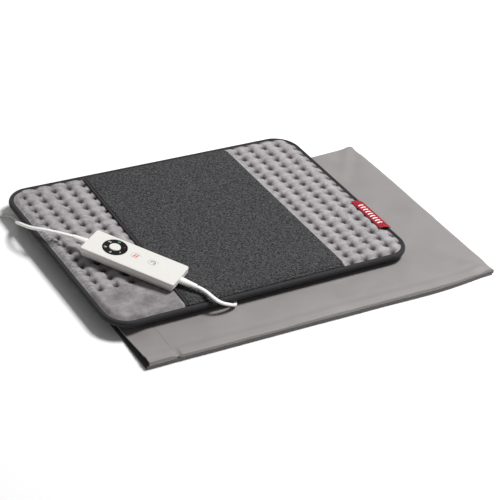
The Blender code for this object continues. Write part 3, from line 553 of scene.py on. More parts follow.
def cover_thickness(p):
    """The cloth is folded double along the open end."""
    local = cover_place.inverted() @ p
    return COVER_CLOTH + (HEM_FOLD if local.x < -COVER_LENGTH / 2 + HEM_WIDTH else 0.0)


upper_rows = [placed(cover_place, [upper_cloth_point(u, v) for u in place_u]) for v in place_v]
upper_cloth = cloth("cover_upper_cloth", upper_rows, lambda p: 0.72 * cover_thickness(p), satin, above=False)
lower_rows = [placed(cover_place, [lower_cloth_point(u, v) for u in place_u]) for v in place_v]
lower_cloth = cloth("cover_lower_cloth", lower_rows, lambda p: 0.6 * COVER_CLOTH, satin_painted_shade, above=True)
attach(upper_cloth, "slip_cover")
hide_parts("cover_upper_panel", "cover_front_seam", "cover_back_seam", "cover_end_seam",
            "cover_upper_hem")
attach(lower_cloth, "slip_cover")
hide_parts("cover_lower_panel", "cover_lower_hem")


def stitch_tree():
    """Lockstitches along a line: each is a short thread between two needle holes."""
    tree = bpy.data.node_groups.new("row_of_stitches", "GeometryNodeTree")
    tree.interface.new_socket("Line", in_out="INPUT", socket_type="NodeSocketGeometry")
    for label in ("Pitch", "Stitch length", "Thread thickness"):
        tree.interface.new_socket(label, in_out="INPUT", socket_type="NodeSocketFloat")
    tree.interface.new_socket("Thread", in_out="INPUT", socket_type="NodeSocketMaterial")
    tree.interface.new_socket("Stitches", in_out="OUTPUT", socket_type="NodeSocketGeometry")
    given = add(tree, "NodeGroupInput").outputs
    curve = add(tree, "GeometryNodeMeshToCurve", {"Mesh": given["Line"]})
    spaced = add(tree, "GeometryNodeCurveToPoints", {"Curve": curve.outputs[0], "Length": given["Pitch"]},
                 mode="LENGTH")
    facing = add(tree, "FunctionNodeAlignRotationToVector", {"Vector": spaced.outputs["Tangent"]}, axis="X")
    bead = add(tree, "GeometryNodeMeshUVSphere", {"Segments": 8, "Rings": 5, "Radius": 0.5})
    size = add(tree, "ShaderNodeCombineXYZ", {"X": given["Stitch length"], "Y": given["Thread thickness"],
                                             "Z": given["Thread thickness"]})
    thread = add(tree, "GeometryNodeTransform", {"Geometry": bead.outputs[0], "Scale": size.outputs[0]})
    sewn = add(tree, "GeometryNodeInstanceOnPoints", {"Points": spaced.outputs["Points"],
                                                      "Instance": thread.outputs[0],
                                                      "Rotation": facing.outputs[0]})
    real = add(tree, "GeometryNodeRealizeInstances", {"Geometry": sewn.outputs[0]})
    dyed = add(tree, "GeometryNodeSetMaterial", {"Geometry": real.outputs[0], "Material": given["Thread"]})
    add(tree, "NodeGroupOutput", {"Stitches": dyed.outputs[0]})
    return tree


STITCHES = stitch_tree()


def sew(name, lines, thread, body, pitch=0.0030, length=0.0024, thickness=0.0005):
    """Rows of stitches along these lines, as one plain mesh that rides on a body."""
    guide_mesh = bpy.data.meshes.new(name + "_guide")
    points, edges = [], []
    for line in lines:
        edges += [(len(points) + i, len(points) + i + 1) for i in range(len(line) - 1)]
        points += [tuple(p) for p in line]
    guide_mesh.from_pydata(points, edges, [])
    guide = bpy.data.objects.new(name + "_guide", guide_mesh)
    bpy.context.scene.collection.objects.link(guide)
    sewing = guide.modifiers.new("sewing", "NODES")
    sewing.node_group = STITCHES
    values = {"Pitch": pitch, "Stitch length": length, "Thread thickness": thickness, "Thread": thread}
    for item in STITCHES.interface.items_tree:
        if item.name in values:
            sewing[item.identifier] = values[item.name]
    bpy.context.view_layer.update()
    made = bpy.data.meshes.new_from_object(guide.evaluated_get(bpy.context.evaluated_depsgraph_get()))
    made.name = name
    made.shade_smooth()
    bpy.data.objects.remove(guide)
    piece = bpy.data.objects.new(name, made)
    bpy.context.scene.collection.objects.link(piece)
    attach(piece, body)
    return piece


def thread_material(name, colour):
    """Spun polyester thread, twisted: matt with a fine rope-like grain."""
    made, tree, shader = new_material(name, colour, 0.8)
    place = add(tree, "ShaderNodeTexCoord").outputs["Object"]
    roughen(tree, shader, place, 0.4, 0.0001, detail=1.0)
    return made


STITCH_LIFT = Vector((0, 0, 0.0001))
hem_line = [cover_place @ (upper_cloth_point(-COVER_LENGTH / 2 + HEM_WIDTH, v) + STITCH_LIFT)
            for v in place_v if abs(v) < COVER_DEPTH / 2 - 0.004]
sew("cover_hem_stitches", [hem_line], thread_material("grey_polyester_thread", "#7d7978"), "slip_cover",
    pitch=0.0028, length=0.0023, thickness=0.0004)


# ---- Pad filling and heater ----
# Needled polyester wadding above and below a carrier fleece that holds the heating wire, its cut-out and
# its sensor; all of it is sewn into the bound edge. The lead ends in a small black housing.
def fibre_material(name, colours, millimetres, depth):
    """Non-woven or plain cloth: tangled fibres that are matt and a little uneven."""
    made, tree, shader = new_material(name, colours[0], 0.95, Sheen_Weight=0.2)
    place = add(tree, "ShaderNodeTexCoord").outputs["Object"]
    mottle(tree, shader, place, colours, millimetres * 3)
    roughen(tree, shader, place, millimetres, depth, detail=4.0)
    return made


def moulded_material(name, colours, roughness, grain=0.5, depth=0.00002, **sockets):
    """Injection-moulded plastic or a similar hard skin, with the fine grain of its tool."""
    made, tree, shader = new_material(name, colours[0], roughness, **sockets)
    place = add(tree, "ShaderNodeTexCoord").outputs["Object"]
    mottle(tree, shader, place, colours, 12)
    roughen(tree, shader, place, grain, depth)
    return made


def give(finish, *names):
    for name in names:
        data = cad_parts[name].data
        data.materials.clear()
        data.materials.append(finish)


wadding = fibre_material("needled_polyester_wadding", ("#dcdcd6", "#e6e6e0"), 0.8, 0.0005)
fleece = fibre_material("polyester_carrier_fleece", ("#d2d2ce", "#e0e0dc"), 0.6, 0.0002)
black_nylon = moulded_material("glass_filled_nylon_moulded", ("#151515", "#1b1b1b"), 0.45, depth=0.00004,
                               IOR=1.53)
give(wadding, "lower_wadding", "upper_wadding")
give(fleece, "heater_carrier")
give(moulded_material("silicone_wire_sheath", ("#c8744a", "#d07f55"), 0.5, IOR=1.43), "heating_wire")
give(moulded_material("tinned_steel_can", ("#b4b4b6", "#bebec0"), 0.3, Metallic=1.0), "thermal_cutout")
give(moulded_material("glazed_ceramic", ("#e2ddd0", "#e9e5d9"), 0.25, IOR=1.55),
     "temperature_sensor", "board_fuse", "indicator_led")
give(black_nylon, "junction_housing", "feed_gland", "power_triac",
     "level_switch", "boost_switch", "timer_switch")

# The underside is one piece of charcoal woven polyester, flat in the middle and turned up to the bound edge.
backing_cloth = fibre_material("plain_woven_polyester_backing", ("#4a494b", "#545356"), 0.9, 0.00015)
# The section gives how far in from the rim and how high above the underside: the lower face, then the upper.
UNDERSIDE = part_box("bottom_cover")[0].z
BACKING_SECTION = (
    (0.0280, 0.0000), (0.0220, 0.0012), (0.0160, 0.0038), (0.0110, 0.0064), (0.0085, 0.0069), (0.0024, 0.0071),
    (0.0024, 0.0077), (0.0085, 0.0077), (0.0110, 0.0072), (0.0160, 0.0047), (0.0220, 0.0020), (0.0280, 0.0008),
)
backing_loops = []
for inset, height in BACKING_SECTION:
    outline = rounded_path(*PAD_SIZE, inset=inset, arc=16, long_steps=60, short_steps=40)
    backing_loops.append([PAD + Vector((x, y, UNDERSIDE + height)) for x, y in outline])
backing = loft("backing_cloth", backing_loops, backing_cloth)
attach(backing, "pad")
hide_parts("bottom_cover")


# ---- Plush top ----
# Short-pile grey plush over soft wadding, tufted down at a regular grid of points so that it puffs up
# between them. It lies flat under the band, and the tufting stops short of the front left corner.
TUFT_X, TUFT_Y, TUFT_SHIFT_X, TUFT_SHIFT_Y = 0.02055, 0.01571, 5.78, 5
TUFT_TOP, TUFT_PIT, PLUSH_FLAT, UNDER_BAND_DROP = 0.0266, 0.0199, 0.0240, 0.0010
PLUSH_EDGE, PLUSH_EDGE_HEIGHT, PLUSH_STEP, TRIM_WIDTH = 0.0052, 0.0214, 0.0011, 0.0035
BAND_RIGHT, BAND_LEFT_BACK, BAND_LEFT_FRONT = 0.107, -0.0994, -0.1098
PLAIN_CORNER, PLAIN_FADE, TUFT_INSET = -0.082, 0.008, 0.0065
PLUSH_WALL = 0.0021


def band_left(y):
    share = (y + PAD_SIZE[1] / 2) / PAD_SIZE[1]
    return BAND_LEFT_FRONT + (BAND_LEFT_BACK - BAND_LEFT_FRONT) * share


def nearest_tufts(x, y):
    """Distances from a point to the tufting points round it, with the way each one lies."""
    column = x / TUFT_X - TUFT_SHIFT_X
    row = TUFT_SHIFT_Y - y / TUFT_Y
    found = []
    for i in (math.floor(column), math.floor(column) + 1):
        for j in (math.floor(row), math.floor(row) + 1):
            middle_x, middle_y = (i + TUFT_SHIFT_X) * TUFT_X, (TUFT_SHIFT_Y - j) * TUFT_Y
            if middle_x < 0 and middle_y < PLAIN_CORNER + 0.002:
                continue
            if pad_inset(middle_x, middle_y) < TUFT_INSET:
                continue
            off_x, off_y = x - middle_x, y - middle_y
            found.append((math.hypot(off_x, off_y), math.atan2(off_y, off_x), i * 7.1 + j * 3.3))
    return found


def tuft_pull(x, y):
    """0 to 1: how hard the stitches hold the plush down here, with creases running out from each one."""
    sunk = 0.0
    for distance, bearing, seed in nearest_tufts(x, y):
        pull = 0.58 * math.exp(-distance / 0.0024) + 0.42 * math.exp(-distance / 0.0056)
        creases = 0.15 * math.sin(5 * bearing + seed) + 0.12 * math.sin(9 * bearing + 2 * seed)
        pull *= 1 + creases * eased(distance / 0.003) * eased((0.012 - distance) / 0.006)
        sunk = max(sunk, pull) + 0.25 * min(sunk, pull)
    return min(1.0, sunk)


def plush_height(x, y):
    inset = pad_inset(x, y)
    puffed = TUFT_TOP + 0.0006 * noise.noise(Vector((x * 95, y * 95, 2.2)))
    column = (x / TUFT_X - TUFT_SHIFT_X) % 1.0
    row = (TUFT_SHIFT_Y - y / TUFT_Y) % 1.0
    between = 0.0015 * ridge(min(column, 1 - column) * TUFT_X, 0.0026)
    between += 0.0013 * ridge(min(row, 1 - row) * TUFT_Y, 0.0024)
    tufted = 1.0 if x > 0 else eased((y - PLAIN_CORNER) / PLAIN_FADE)
    height = puffed - (puffed - TUFT_PIT) * tuft_pull(x, y) - between * tufted
    if x < 0:
        uneven = 0.0003 * noise.noise(Vector((x * 60, y * 60, 8)))
        height += -0.0010 * (1 - tufted) + uneven * (1 - tufted)
        to_rim = eased((0.022 - inset) / 0.006) * eased((inset - 0.0060) / 0.004) * tufted
        height += 0.0013 * to_rim * math.sin(2 * math.pi * (y / (TUFT_Y / 3) + 34 * (x + 0.19)))
    past_right, past_left = x - BAND_RIGHT, band_left(y) - TRIM_WIDTH - x
    covered = -max(past_right, past_left)
    margin = eased(past_right / 0.0095) if x > 0 else eased(past_left / 0.0050)
    flat = PLUSH_FLAT - UNDER_BAND_DROP * eased(covered / 0.004)
    height = flat + (height - flat) * margin
    full = eased((inset - PLUSH_EDGE) / 0.0070) ** 0.75
    return PLUSH_EDGE_HEIGHT + (height - PLUSH_EDGE_HEIGHT) * full


def corner_darkening(x, y):
    """How much darker the plain front left corner is painted, in patches: 0 is not darkened."""
    if x > 0:
        return 0.0
    plain = 1 - eased((y - PLAIN_CORNER) / PLAIN_FADE)
    return plain * (0.28 + 0.14 * noise.noise(Vector((x * 55, y * 55, 4))))


def plush_columns():
    """X stations as shares of the half length: fine over both tufted strips, coarse under the band."""
    reach = PAD_SIZE[0] / 2 - PLUSH_EDGE
    coarse_left, coarse_right, coarse_steps = 0.094, 0.096, 12
    left_fine = [-reach + i * PLUSH_STEP for i in range(round((reach - coarse_left) / PLUSH_STEP) + 1)]
    right_fine = [reach - i * PLUSH_STEP for i in range(round((reach - coarse_right) / PLUSH_STEP) + 1)]
    gap = right_fine[-1] - left_fine[-1]
    middle = [left_fine[-1] + gap * i / coarse_steps for i in range(1, coarse_steps)]
    return [x / reach for x in left_fine + middle + right_fine[::-1]]


def row_reach(y):
    length, depth, corner = PAD_SIZE
    over = abs(y) - (depth / 2 - corner)
    if over <= 0:
        return length / 2 - PLUSH_EDGE
    return length / 2 - corner + math.sqrt(max(0.0, (corner - PLUSH_EDGE) ** 2 - over**2))


def make_plush(finish):
    shares = plush_columns()
    reach_y = PAD_SIZE[1] / 2 - PLUSH_EDGE
    count = round(2 * reach_y / PLUSH_STEP)
    points = []
    for r in range(count + 1):
        y = -reach_y + 2 * reach_y * r / count
        reach = row_reach(y)
        points += [PAD + Vector((s * reach, y, plush_height(s * reach, y))) for s in shares]
    faces, rim = grid(len(shares), count + 1)
    # Painted shade: each point keeps how dark the pile is painted: deep in the tufting pits, on their slopes,
    # and on the darker plain front left corner.
    painted_darkening = []
    for p in points:
        x, y = p.x - PAD.x, p.y - PAD.y
        above_edge = eased((p.z - PLUSH_EDGE_HEIGHT + 0.003) / 0.002)
        painted_darkening.append(max(tuft_pull(x, y) * above_edge, corner_darkening(x, y)))
    lower = [len(points) + i for i in range(len(rim))]
    points += [Vector((points[i].x, points[i].y, PLUSH_EDGE_HEIGHT - PLUSH_WALL)) for i in rim]
    faces += [(a, b, lower[(i + 1) % len(rim)], lower[i])
              for i, (a, b) in enumerate(zip(rim, rim[1:] + rim[:1]))]
    faces.append(tuple(lower))
    made = mesh_piece("plush_top", points, faces, finish)
    pit_shade_and_dark_corner = made.data.attributes.new("pit_shade_and_dark_corner", "FLOAT", "POINT")
    pit_shade_and_dark_corner.data.foreach_set("value", painted_darkening + [0.0] * len(rim))
    return made


def plush_material():
    """Polyester plush: pile about 2 mm deep that leans in drifts, so that it lightens and darkens."""
    made, tree, shader = new_material("short_pile_polyester_plush", "#a3a0a1", 0.9, Sheen_Weight=0.22,
                                      Sheen_Roughness=0.45, Specular_IOR_Level=0.15)
    place = add(tree, "ShaderNodeTexCoord").outputs["Object"]
    drift = add(tree, "ShaderNodeTexNoise", {"Vector": place, "Scale": 1000 / 9, "Detail": 6.0,
                                             "Roughness": 0.65, "Distortion": 0.6})
    pile = add(tree, "ShaderNodeTexNoise", {"Vector": place, "Scale": 1000 / 1.1, "Detail": 3.0})
    shade = add(tree, "ShaderNodeMix", {0: drift.outputs["Fac"], 6: linear("#666264"), 7: linear("#d2ced0")},
                data_type="RGBA")
    tips = add(tree, "ShaderNodeMix", {0: 0.22, 6: shade.outputs[2], 7: pile.outputs["Fac"]},
               data_type="RGBA", blend_type="OVERLAY")
    # Painted shade: the pile is painted darker on the slopes and near black in the pits where the stitches hold
    # it down. The plain front left corner is painted darker too.
    pit_shade_and_dark_corner = add(tree, "ShaderNodeAttribute", attribute_name="pit_shade_and_dark_corner").outputs["Fac"]
    slope = add(tree, "ShaderNodeMapRange", {"Value": pit_shade_and_dark_corner, "From Min": 0.05, "From Max": 0.38})
    shaded = add(tree, "ShaderNodeMix", {0: slope.outputs["Result"], 6: (1, 1, 1, 1), 7: linear("#b3b1b2")},
                 data_type="RGBA")
    slope_shaded_pile = add(tree, "ShaderNodeMix", {0: 1.0, 6: tips.outputs[2], 7: shaded.outputs[2]},
               data_type="RGBA", blend_type="MULTIPLY")
    depth = add(tree, "ShaderNodeMapRange", {"Value": pit_shade_and_dark_corner, "From Min": 0.30, "From Max": 0.72})
    pit_shaded_pile = add(tree, "ShaderNodeMix", {0: depth.outputs["Result"], 6: slope_shaded_pile.outputs[2],
                                          7: linear("#1a1718")}, data_type="RGBA")
    tree.links.new(pit_shaded_pile.outputs[2], shader.inputs["Base Color"])
    raise_surface(tree, shader, pile.outputs["Fac"], 0.0006, 0.8)
    return made


plush = make_plush(plush_material())
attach(plush, "pad")
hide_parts("plush_panel")


# ---- Comfort band ----
# A strip of charcoal heathered felt laid front to back over the plush. Its right edge is turned under;
# its left edge is bound with narrow black tape, and its ends are caught under the pad's edge binding.
BAND_THICKNESS, BAND_STEP, BAND_INSET, BAND_DROP = 0.0013, 0.0022, 0.0062, 0.0026
band_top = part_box("comfort_band")[1].z


def band_height(x, y):
    inset = PAD_SIZE[1] / 2 - abs(y)
    drop = BAND_DROP * (1 - eased((inset - BAND_INSET) / 0.0085))
    soft = noise.noise(Vector((x * 30, y * 30, 5))) + 0.5 * noise.noise(Vector((x * 80, y * 80, 6)))
    return band_top - drop + 0.00022 * soft - 0.0007 * ridge(x - BAND_RIGHT, 0.0012)


def felt_material():
    """Needled felt of mixed black and grey fibres; the flecks are 1 to 2.5 mm long and lie slantwise."""
    made, tree, shader = new_material("heathered_charcoal_felt", "#343435", 0.95, Sheen_Weight=0.04,
                                      Sheen_Roughness=0.6, Specular_IOR_Level=0.10)
    place = add(tree, "ShaderNodeTexCoord").outputs["Object"]
    slant = add(tree, "ShaderNodeMapping", {"Vector": place, "Rotation": (0, 0, math.radians(38)),
                                            "Scale": (1.0, 2.6, 1.0)}).outputs["Vector"]
    flecks = add(tree, "ShaderNodeTexNoise", {"Vector": slant, "Scale": 1000 / 2.5, "Detail": 5.0,
                                              "Roughness": 0.75})
    sorted_flecks = add(tree, "ShaderNodeValToRGB", {"Fac": flecks.outputs["Fac"]})
    black, grey = sorted_flecks.color_ramp.elements
    black.position, black.color = 0.43, linear("#111112")
    grey.position, grey.color = 0.65, linear("#666668")
    tree.links.new(sorted_flecks.outputs["Color"], shader.inputs["Base Color"])
    raise_surface(tree, shader, flecks.outputs["Fac"], 0.0004, 0.8)
    return made


felt = felt_material()
band_end = PAD_SIZE[1] / 2 - BAND_INSET
band_down, band_across = round(2 * band_end / BAND_STEP), round((BAND_RIGHT - BAND_LEFT_FRONT) / BAND_STEP)
band_places = [-band_end + 2 * band_end * r / band_down for r in range(band_down + 1)]
band_rows = []
for y in band_places:
    left = band_left(y)
    xs = [left + (BAND_RIGHT - left) * (c / band_across) for c in range(band_across)]
    xs += [BAND_RIGHT - 0.0004, BAND_RIGHT]
    band_rows.append([PAD + Vector((x, y, band_height(x, y))) for x in xs])
band = cloth("felt_band", band_rows, lambda p: BAND_THICKNESS * 0.8, felt, above=False)
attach(band, "pad")
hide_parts("comfort_band")


def tape_material():
    """Woven polyester edge tape, nearly black, with a grain of about 0.8 mm from its weave."""
    made, tree, shader = new_material("ribbed_polyester_tape", "#2a292b", 0.80, Sheen_Weight=0.10,
                                      Sheen_Roughness=0.5, Specular_IOR_Level=0.18)
    place = add(tree, "ShaderNodeTexCoord").outputs["Object"]
    mottle(tree, shader, place, ("#272628", "#383739"), 2.0)
    roughen(tree, shader, place, 0.8, 0.0003, strength=0.8)
    return made


tape = tape_material()
TRIM_SECTION = ((0, -0.0013), (0, 0.0000), (0.0004, 0.0003), (0.0012, 0.0004),
                (0.0024, 0.0003), (0.0033, 0.0000), (0.0035, -0.0005), (0.0035, -0.0013))
trim_loops = []
for y in band_places:
    outer_edge = band_left(y) - TRIM_WIDTH - 0.0002
    seat = band_height(band_left(y), y)
    trim_loops.append([PAD + Vector((outer_edge + a, y, seat + b)) for a, b in TRIM_SECTION])
band_trim = loft("band_edge_tape", trim_loops, tape, smooth_angle=50)
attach(band_trim, "pad")
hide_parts("band_left_binding")
black_thread = thread_material("black_polyester_thread", "#161617")
end_lines = []
for side in (-1, 1):
    y = side * (PAD_SIZE[1] / 2 - 0.0105)
    end_lines.append([PAD + Vector((x, y, band_height(x, y) + 0.0001))
                      for x in [band_left(y) + 0.002 + i * 0.004 for i in range(53)] if x < BAND_RIGHT - 0.002])
trim_line = [row[0] + Vector((-0.0007, 0, 0.0003)) for row in band_rows[3:-3]]
sew("band_stitches", end_lines + [trim_line], black_thread, "pad", pitch=0.0026, length=0.0021,
    thickness=0.0004)


# ---- Edge binding ----
# Woven tape folded round the edges of plush and backing and sewn through near its inner edge, so that it
# bulges outside the stitches.
# The section gives how far in from the rim and how high above the tape's underside: the outer face first, over
# the rim to the inner edge, and then back along the inner face.
BINDING_SECTION = (
    (0.0088, 0.0000), (0.0060, -0.0001), (0.0035, 0.0000), (0.0016, 0.0005), (0.0005, 0.0014), (0.0000, 0.0028),
    (0.0000, 0.0044), (0.0004, 0.0058), (0.0012, 0.0069), (0.0024, 0.0075), (0.0033, 0.0073), (0.0039, 0.0065),
    (0.0045, 0.0068), (0.0052, 0.0069), (0.0058, 0.0066), (0.0060, 0.0060), (0.0054, 0.0059), (0.0034, 0.0058),
    (0.0018, 0.0052), (0.0010, 0.0040), (0.0016, 0.0018), (0.0030, 0.0010), (0.0060, 0.0009), (0.0088, 0.0009),
)
BINDING_SWELL, BINDING_HEIGHT = 0.0003, 0.0078


def binding_path(inset):
    return rounded_path(*PAD_SIZE, inset=inset, arc=24, long_steps=90, short_steps=60)


binding_low = rim_low.z
binding_loops = []
for inset, height in BINDING_SECTION:
    loop = []
    for x, y in binding_path(inset):
        swell = BINDING_SWELL * noise.noise(Vector((x * 55, y * 55, 0)))
        swell *= math.sin(math.pi * height / BINDING_HEIGHT)
        loop.append(PAD + Vector((x, y, binding_low + height + swell)))
    binding_loops.append(loop)
binding = loft("edge_binding_tape", binding_loops, tape, ring=True, smooth_angle=70)
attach(binding, "pad")
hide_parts("edge_binding")
edge_lines = []
for inset, height in ((0.0039, 0.00665), (0.0080, 0.0000)):
    outline = binding_path(inset)
    edge_lines.append([PAD + Vector((x, y, binding_low + height)) for x, y in outline + outline[:1]])
sew("binding_stitches", edge_lines, black_thread, "pad", pitch=0.0030, length=0.0024, thickness=0.00045)


# ---- Woven tab ----
# A strip of red damask ribbon sewn flat at the pad's right edge. Plain slanted bars in white thread are woven
# in as decoration.
TAB_WIDTH, TAB_LENGTH, TAB_MIDDLE, TAB_THICKNESS, TAB_TOP = 0.018, 0.064, -0.063, 0.0007, 0.0274
TAB_COLUMNS, TAB_ROWS = 14, 40


def tab_point(across, along):
    """A point on the tab: across runs from the plush to the outer edge, along from front to back."""
    x = PAD_SIZE[0] / 2 - TAB_WIDTH + across
    height = TAB_TOP - 0.0026 * eased((across - 0.006) / 0.010) - 0.0010 * eased((across - 0.0155) / 0.0025)
    height += 0.00025 * noise.noise(Vector((across * 90, along * 60, 3)))
    return PAD + Vector((x, TAB_MIDDLE + along, height))


red_ribbon, tree, shader = new_material("red_woven_damask_ribbon", "#960b1e", 0.6, Sheen_Weight=0.05,
                                        Specular_IOR_Level=0.2)
place = add(tree, "ShaderNodeTexCoord").outputs["Object"]
mottle(tree, shader, place, ("#8a091a", "#9e0e22"), 4)
threads = add(tree, "ShaderNodeTexWave", {"Vector": place, "Scale": 1000 / 0.8 * WAVE_BAND,
                                          "Distortion": 0.3}, bands_direction="Y")
raise_surface(tree, shader, threads.outputs["Fac"], 0.00008)
tab_rows = [[tab_point(TAB_WIDTH * c / TAB_COLUMNS, TAB_LENGTH * (r / TAB_ROWS - 0.5))
             for c in range(TAB_COLUMNS + 1)] for r in range(TAB_ROWS + 1)]
tab = cloth("woven_tab", tab_rows, lambda p: TAB_THICKNESS, red_ribbon, above=False, smooth_angle=50)
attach(tab, "pad")
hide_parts("label_tab")

white_weave = fibre_material("white_woven_thread", ("#ece7e4", "#f6f2ef"), 0.5, 0.0001)
BAR_COUNT, BAR_PITCH, BAR_STROKE, BAR_SLANT = 9, 0.0052, 0.0020, 0.0024
BAR_START, BAR_LENGTH, BAR_STEPS, BAR_PROUD, BAR_THICKNESS = 0.0032, 0.0098, 20, 0.00012, 0.0004
bar_points, bar_faces = [], []
for bar in range(BAR_COUNT):
    middle = (bar - (BAR_COUNT - 1) / 2) * BAR_PITCH
    start = len(bar_points)
    for step in range(BAR_STEPS + 1):
        share = step / BAR_STEPS
        across = BAR_START + BAR_LENGTH * share
        along = middle + BAR_SLANT * (share - 0.5)
        for side in (-0.5, 0.5):
            bar_points.append(tab_point(across, along + side * BAR_STROKE) + Vector((0, 0, BAR_PROUD)))
    for side in (0, 1):
        for step in range(BAR_STEPS + 1):
            bar_points.append(bar_points[start + 2 * step + side] - Vector((0, 0, BAR_THICKNESS)))
    low = start + 2 * (BAR_STEPS + 1)
    low_other = low + BAR_STEPS + 1
    for step in range(BAR_STEPS):
        a = start + 2 * step
        left_low, right_low = low + step, low_other + step
        bar_faces += [(a, a + 1, a + 3, a + 2), (left_low, left_low + 1, right_low + 1, right_low),
                      (a, a + 2, left_low + 1, left_low), (a + 1, a + 3, right_low + 1, right_low)]
    last = start + 2 * BAR_STEPS
    bar_faces += [(start, start + 1, low_other, low), (last, last + 1, low_other + BAR_STEPS, low + BAR_STEPS)]
tab_bars = mesh_piece("tab_bars", bar_points, bar_faces, white_weave)
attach(tab_bars, "pad")
sew("tab_stitches", [[tab_point(0.0012, TAB_LENGTH * (i / 32 - 0.5)) for i in range(1, 32)]],
    thread_material("red_polyester_thread", "#84091b"), "pad", pitch=0.0026, length=0.0021,
    thickness=0.0004)


# ---- Handset ----
# Two glossy white ABS mouldings, top and bottom, screwed together from below over the circuit board. The
# top has a sunk black dial ring with a push button in it, and two flush keys.
HANDSET_TURN = Euler((math.radians(2.0), math.radians(2.5), math.radians(-55.61)))
BOARD_DEPTH = 0.0085
HANDSET_LENGTH, HANDSET_WIDTH, HANDSET_THICKNESS, HANDSET_CORNER = 0.1213, 0.0427, 0.0126, 0.0030
PART_LINE, PART_GAP, SHELL_WALL, SHELL_LEAN = 0.0063, 0.00015, 0.0018, 0.0030
KEY_ROW, DIAL_X, DIAL_OUTER, DIAL_INNER, DIAL_SINK = 0.0028, -0.0273, 0.0149, 0.0073, 0.0009
BUTTON_RADIUS, ABOVE_FACE, DISC_POINTS, ARC_STEPS = 0.0068, 0.002, 64, 16
KEY_SIZE, BOOST_X, TIMER_X, KEY_ROOM = (0.012, 0.009), 0.0002, 0.0225, 0.0002
board_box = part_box("circuit_board")
handset_place = Matrix.Translation((board_box[0] + board_box[1]) / 2) @ HANDSET_TURN.to_matrix().to_4x4()
handset_place = handset_place @ Matrix.Translation((0, 0, BOARD_DEPTH))


def shell_loop(inset, depth):
    outline = rounded_path(HANDSET_LENGTH, HANDSET_WIDTH, HANDSET_CORNER, inset, arc=12)
    return placed(handset_place, [(x, y, -depth) for x, y in outline])


def capsule_outline(size, middle, height, grow=0.0):
    outline = rounded_path(size[0] + 2 * grow, size[1] + 2 * grow, size[1] / 2 - 0.0001 + grow, arc=12)
    return placed(handset_place, [(middle[0] + x, middle[1] + y, height) for x, y in outline])


def disc_outline(radius, middle, height):
    angles = [2 * math.pi * i / DISC_POINTS for i in range(DISC_POINTS)]
    return placed(handset_place, [(middle[0] + radius * math.cos(a), middle[1] + radius * math.sin(a), height)
                                  for a in angles])


def cut_away(target, cutters):
    """Takes the cutters out of the target for good, and removes them."""
    for cutter in cutters:
        step = target.modifiers.new(cutter.name, "BOOLEAN")
        step.operation, step.solver, step.object = "DIFFERENCE", "EXACT", cutter
    bpy.context.view_layer.update()
    made = bpy.data.meshes.new_from_object(target.evaluated_get(bpy.context.evaluated_depsgraph_get()))
    target.modifiers.clear()
    target.data = made
    made.shade_smooth()
    made.set_sharp_from_angle(angle=math.radians(38))
    for cutter in cutters:
        bpy.data.objects.remove(cutter)


abs_white = moulded_material("gloss_white_abs_moulded", ("#dcdad5", "#e0deda"), 0.30, grain=1.5,
                             depth=0.00001, IOR=1.50, Specular_IOR_Level=0.4)
# Each section gives how far in from the side and how deep below the face: up the inside, then over the outside.
TOP_SECTION = (
    (SHELL_WALL, SHELL_WALL), (SHELL_WALL, PART_LINE - PART_GAP), (0.0002, PART_LINE - PART_GAP),
    (0.0, PART_LINE - 0.0004), (0.0, 0.0014), (0.0001, 0.0009), (0.0003, 0.0004), (0.0006, 0.0001),
    (0.0010, 0.0), (0.0024, 0.0),
)
DIAL_MIDDLE = (DIAL_X, KEY_ROW)
top_shell = loft("handset_top", [shell_loop(inset, depth) for inset, depth in TOP_SECTION], abs_white)
cutters = [loft(name, [disc_outline(radius, DIAL_MIDDLE, z) for z in (floor_level, ABOVE_FACE)], abs_white)
           for name, radius, floor_level in (("dial_recess", DIAL_OUTER + 0.0002, -DIAL_SINK),
                                             ("button_passage", DIAL_INNER, -0.006))]
cutters += [loft(name, [capsule_outline(KEY_SIZE, (x, KEY_ROW), z, KEY_ROOM) for z in (-0.005, ABOVE_FACE)],
                 abs_white) for name, x in (("boost_hole", BOOST_X), ("timer_hole", TIMER_X))]
cut_away(top_shell, cutters)
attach(top_shell, "pad")
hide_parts("handset_top_shell")


def lean_at(depth):
    """How far the bottom shell's side leans in at this depth."""
    return SHELL_LEAN * (depth - PART_LINE) / (HANDSET_THICKNESS - PART_LINE)


BOTTOM_SECTION = (
    (SHELL_WALL + lean_at(0.0108), 0.0108), (SHELL_WALL, PART_LINE + PART_GAP), (0.0002, PART_LINE + PART_GAP),
    (0.0, PART_LINE + 0.0004), (lean_at(0.0090), 0.0090), (lean_at(0.0112), 0.0112),
    (lean_at(0.0112) + 0.0004, 0.0120), (lean_at(0.0112) + 0.0010, 0.0124),
    (lean_at(0.0112) + 0.0018, HANDSET_THICKNESS),
)
bottom_shell = loft("handset_bottom", [shell_loop(inset, depth) for inset, depth in BOTTOM_SECTION],
                    abs_white, smooth_angle=38)
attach(bottom_shell, "pad")
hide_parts("handset_bottom_shell")

# The dial ring is a polished black acrylic ring let into the face, with printed level marks.
black_acrylic = moulded_material("polished_black_acrylic", ("#060606", "#0a0a0a"), 0.25, grain=2.0,
                                 depth=0.000005, IOR=1.49, Specular_IOR_Level=0.2)
dial = loft("dial_ring", [disc_outline(radius, DIAL_MIDDLE, z) for radius, z in (
    (DIAL_OUTER, -0.0006), (DIAL_OUTER, 0.0001), (DIAL_OUTER - 0.0002, 0.0003), (DIAL_INNER + 0.0002, 0.0003),
    (DIAL_INNER, 0.0001), (DIAL_INNER, -0.0006))], black_acrylic, ring=True, smooth_angle=38)
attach(dial, "pad")
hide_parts("level_dial_ring")

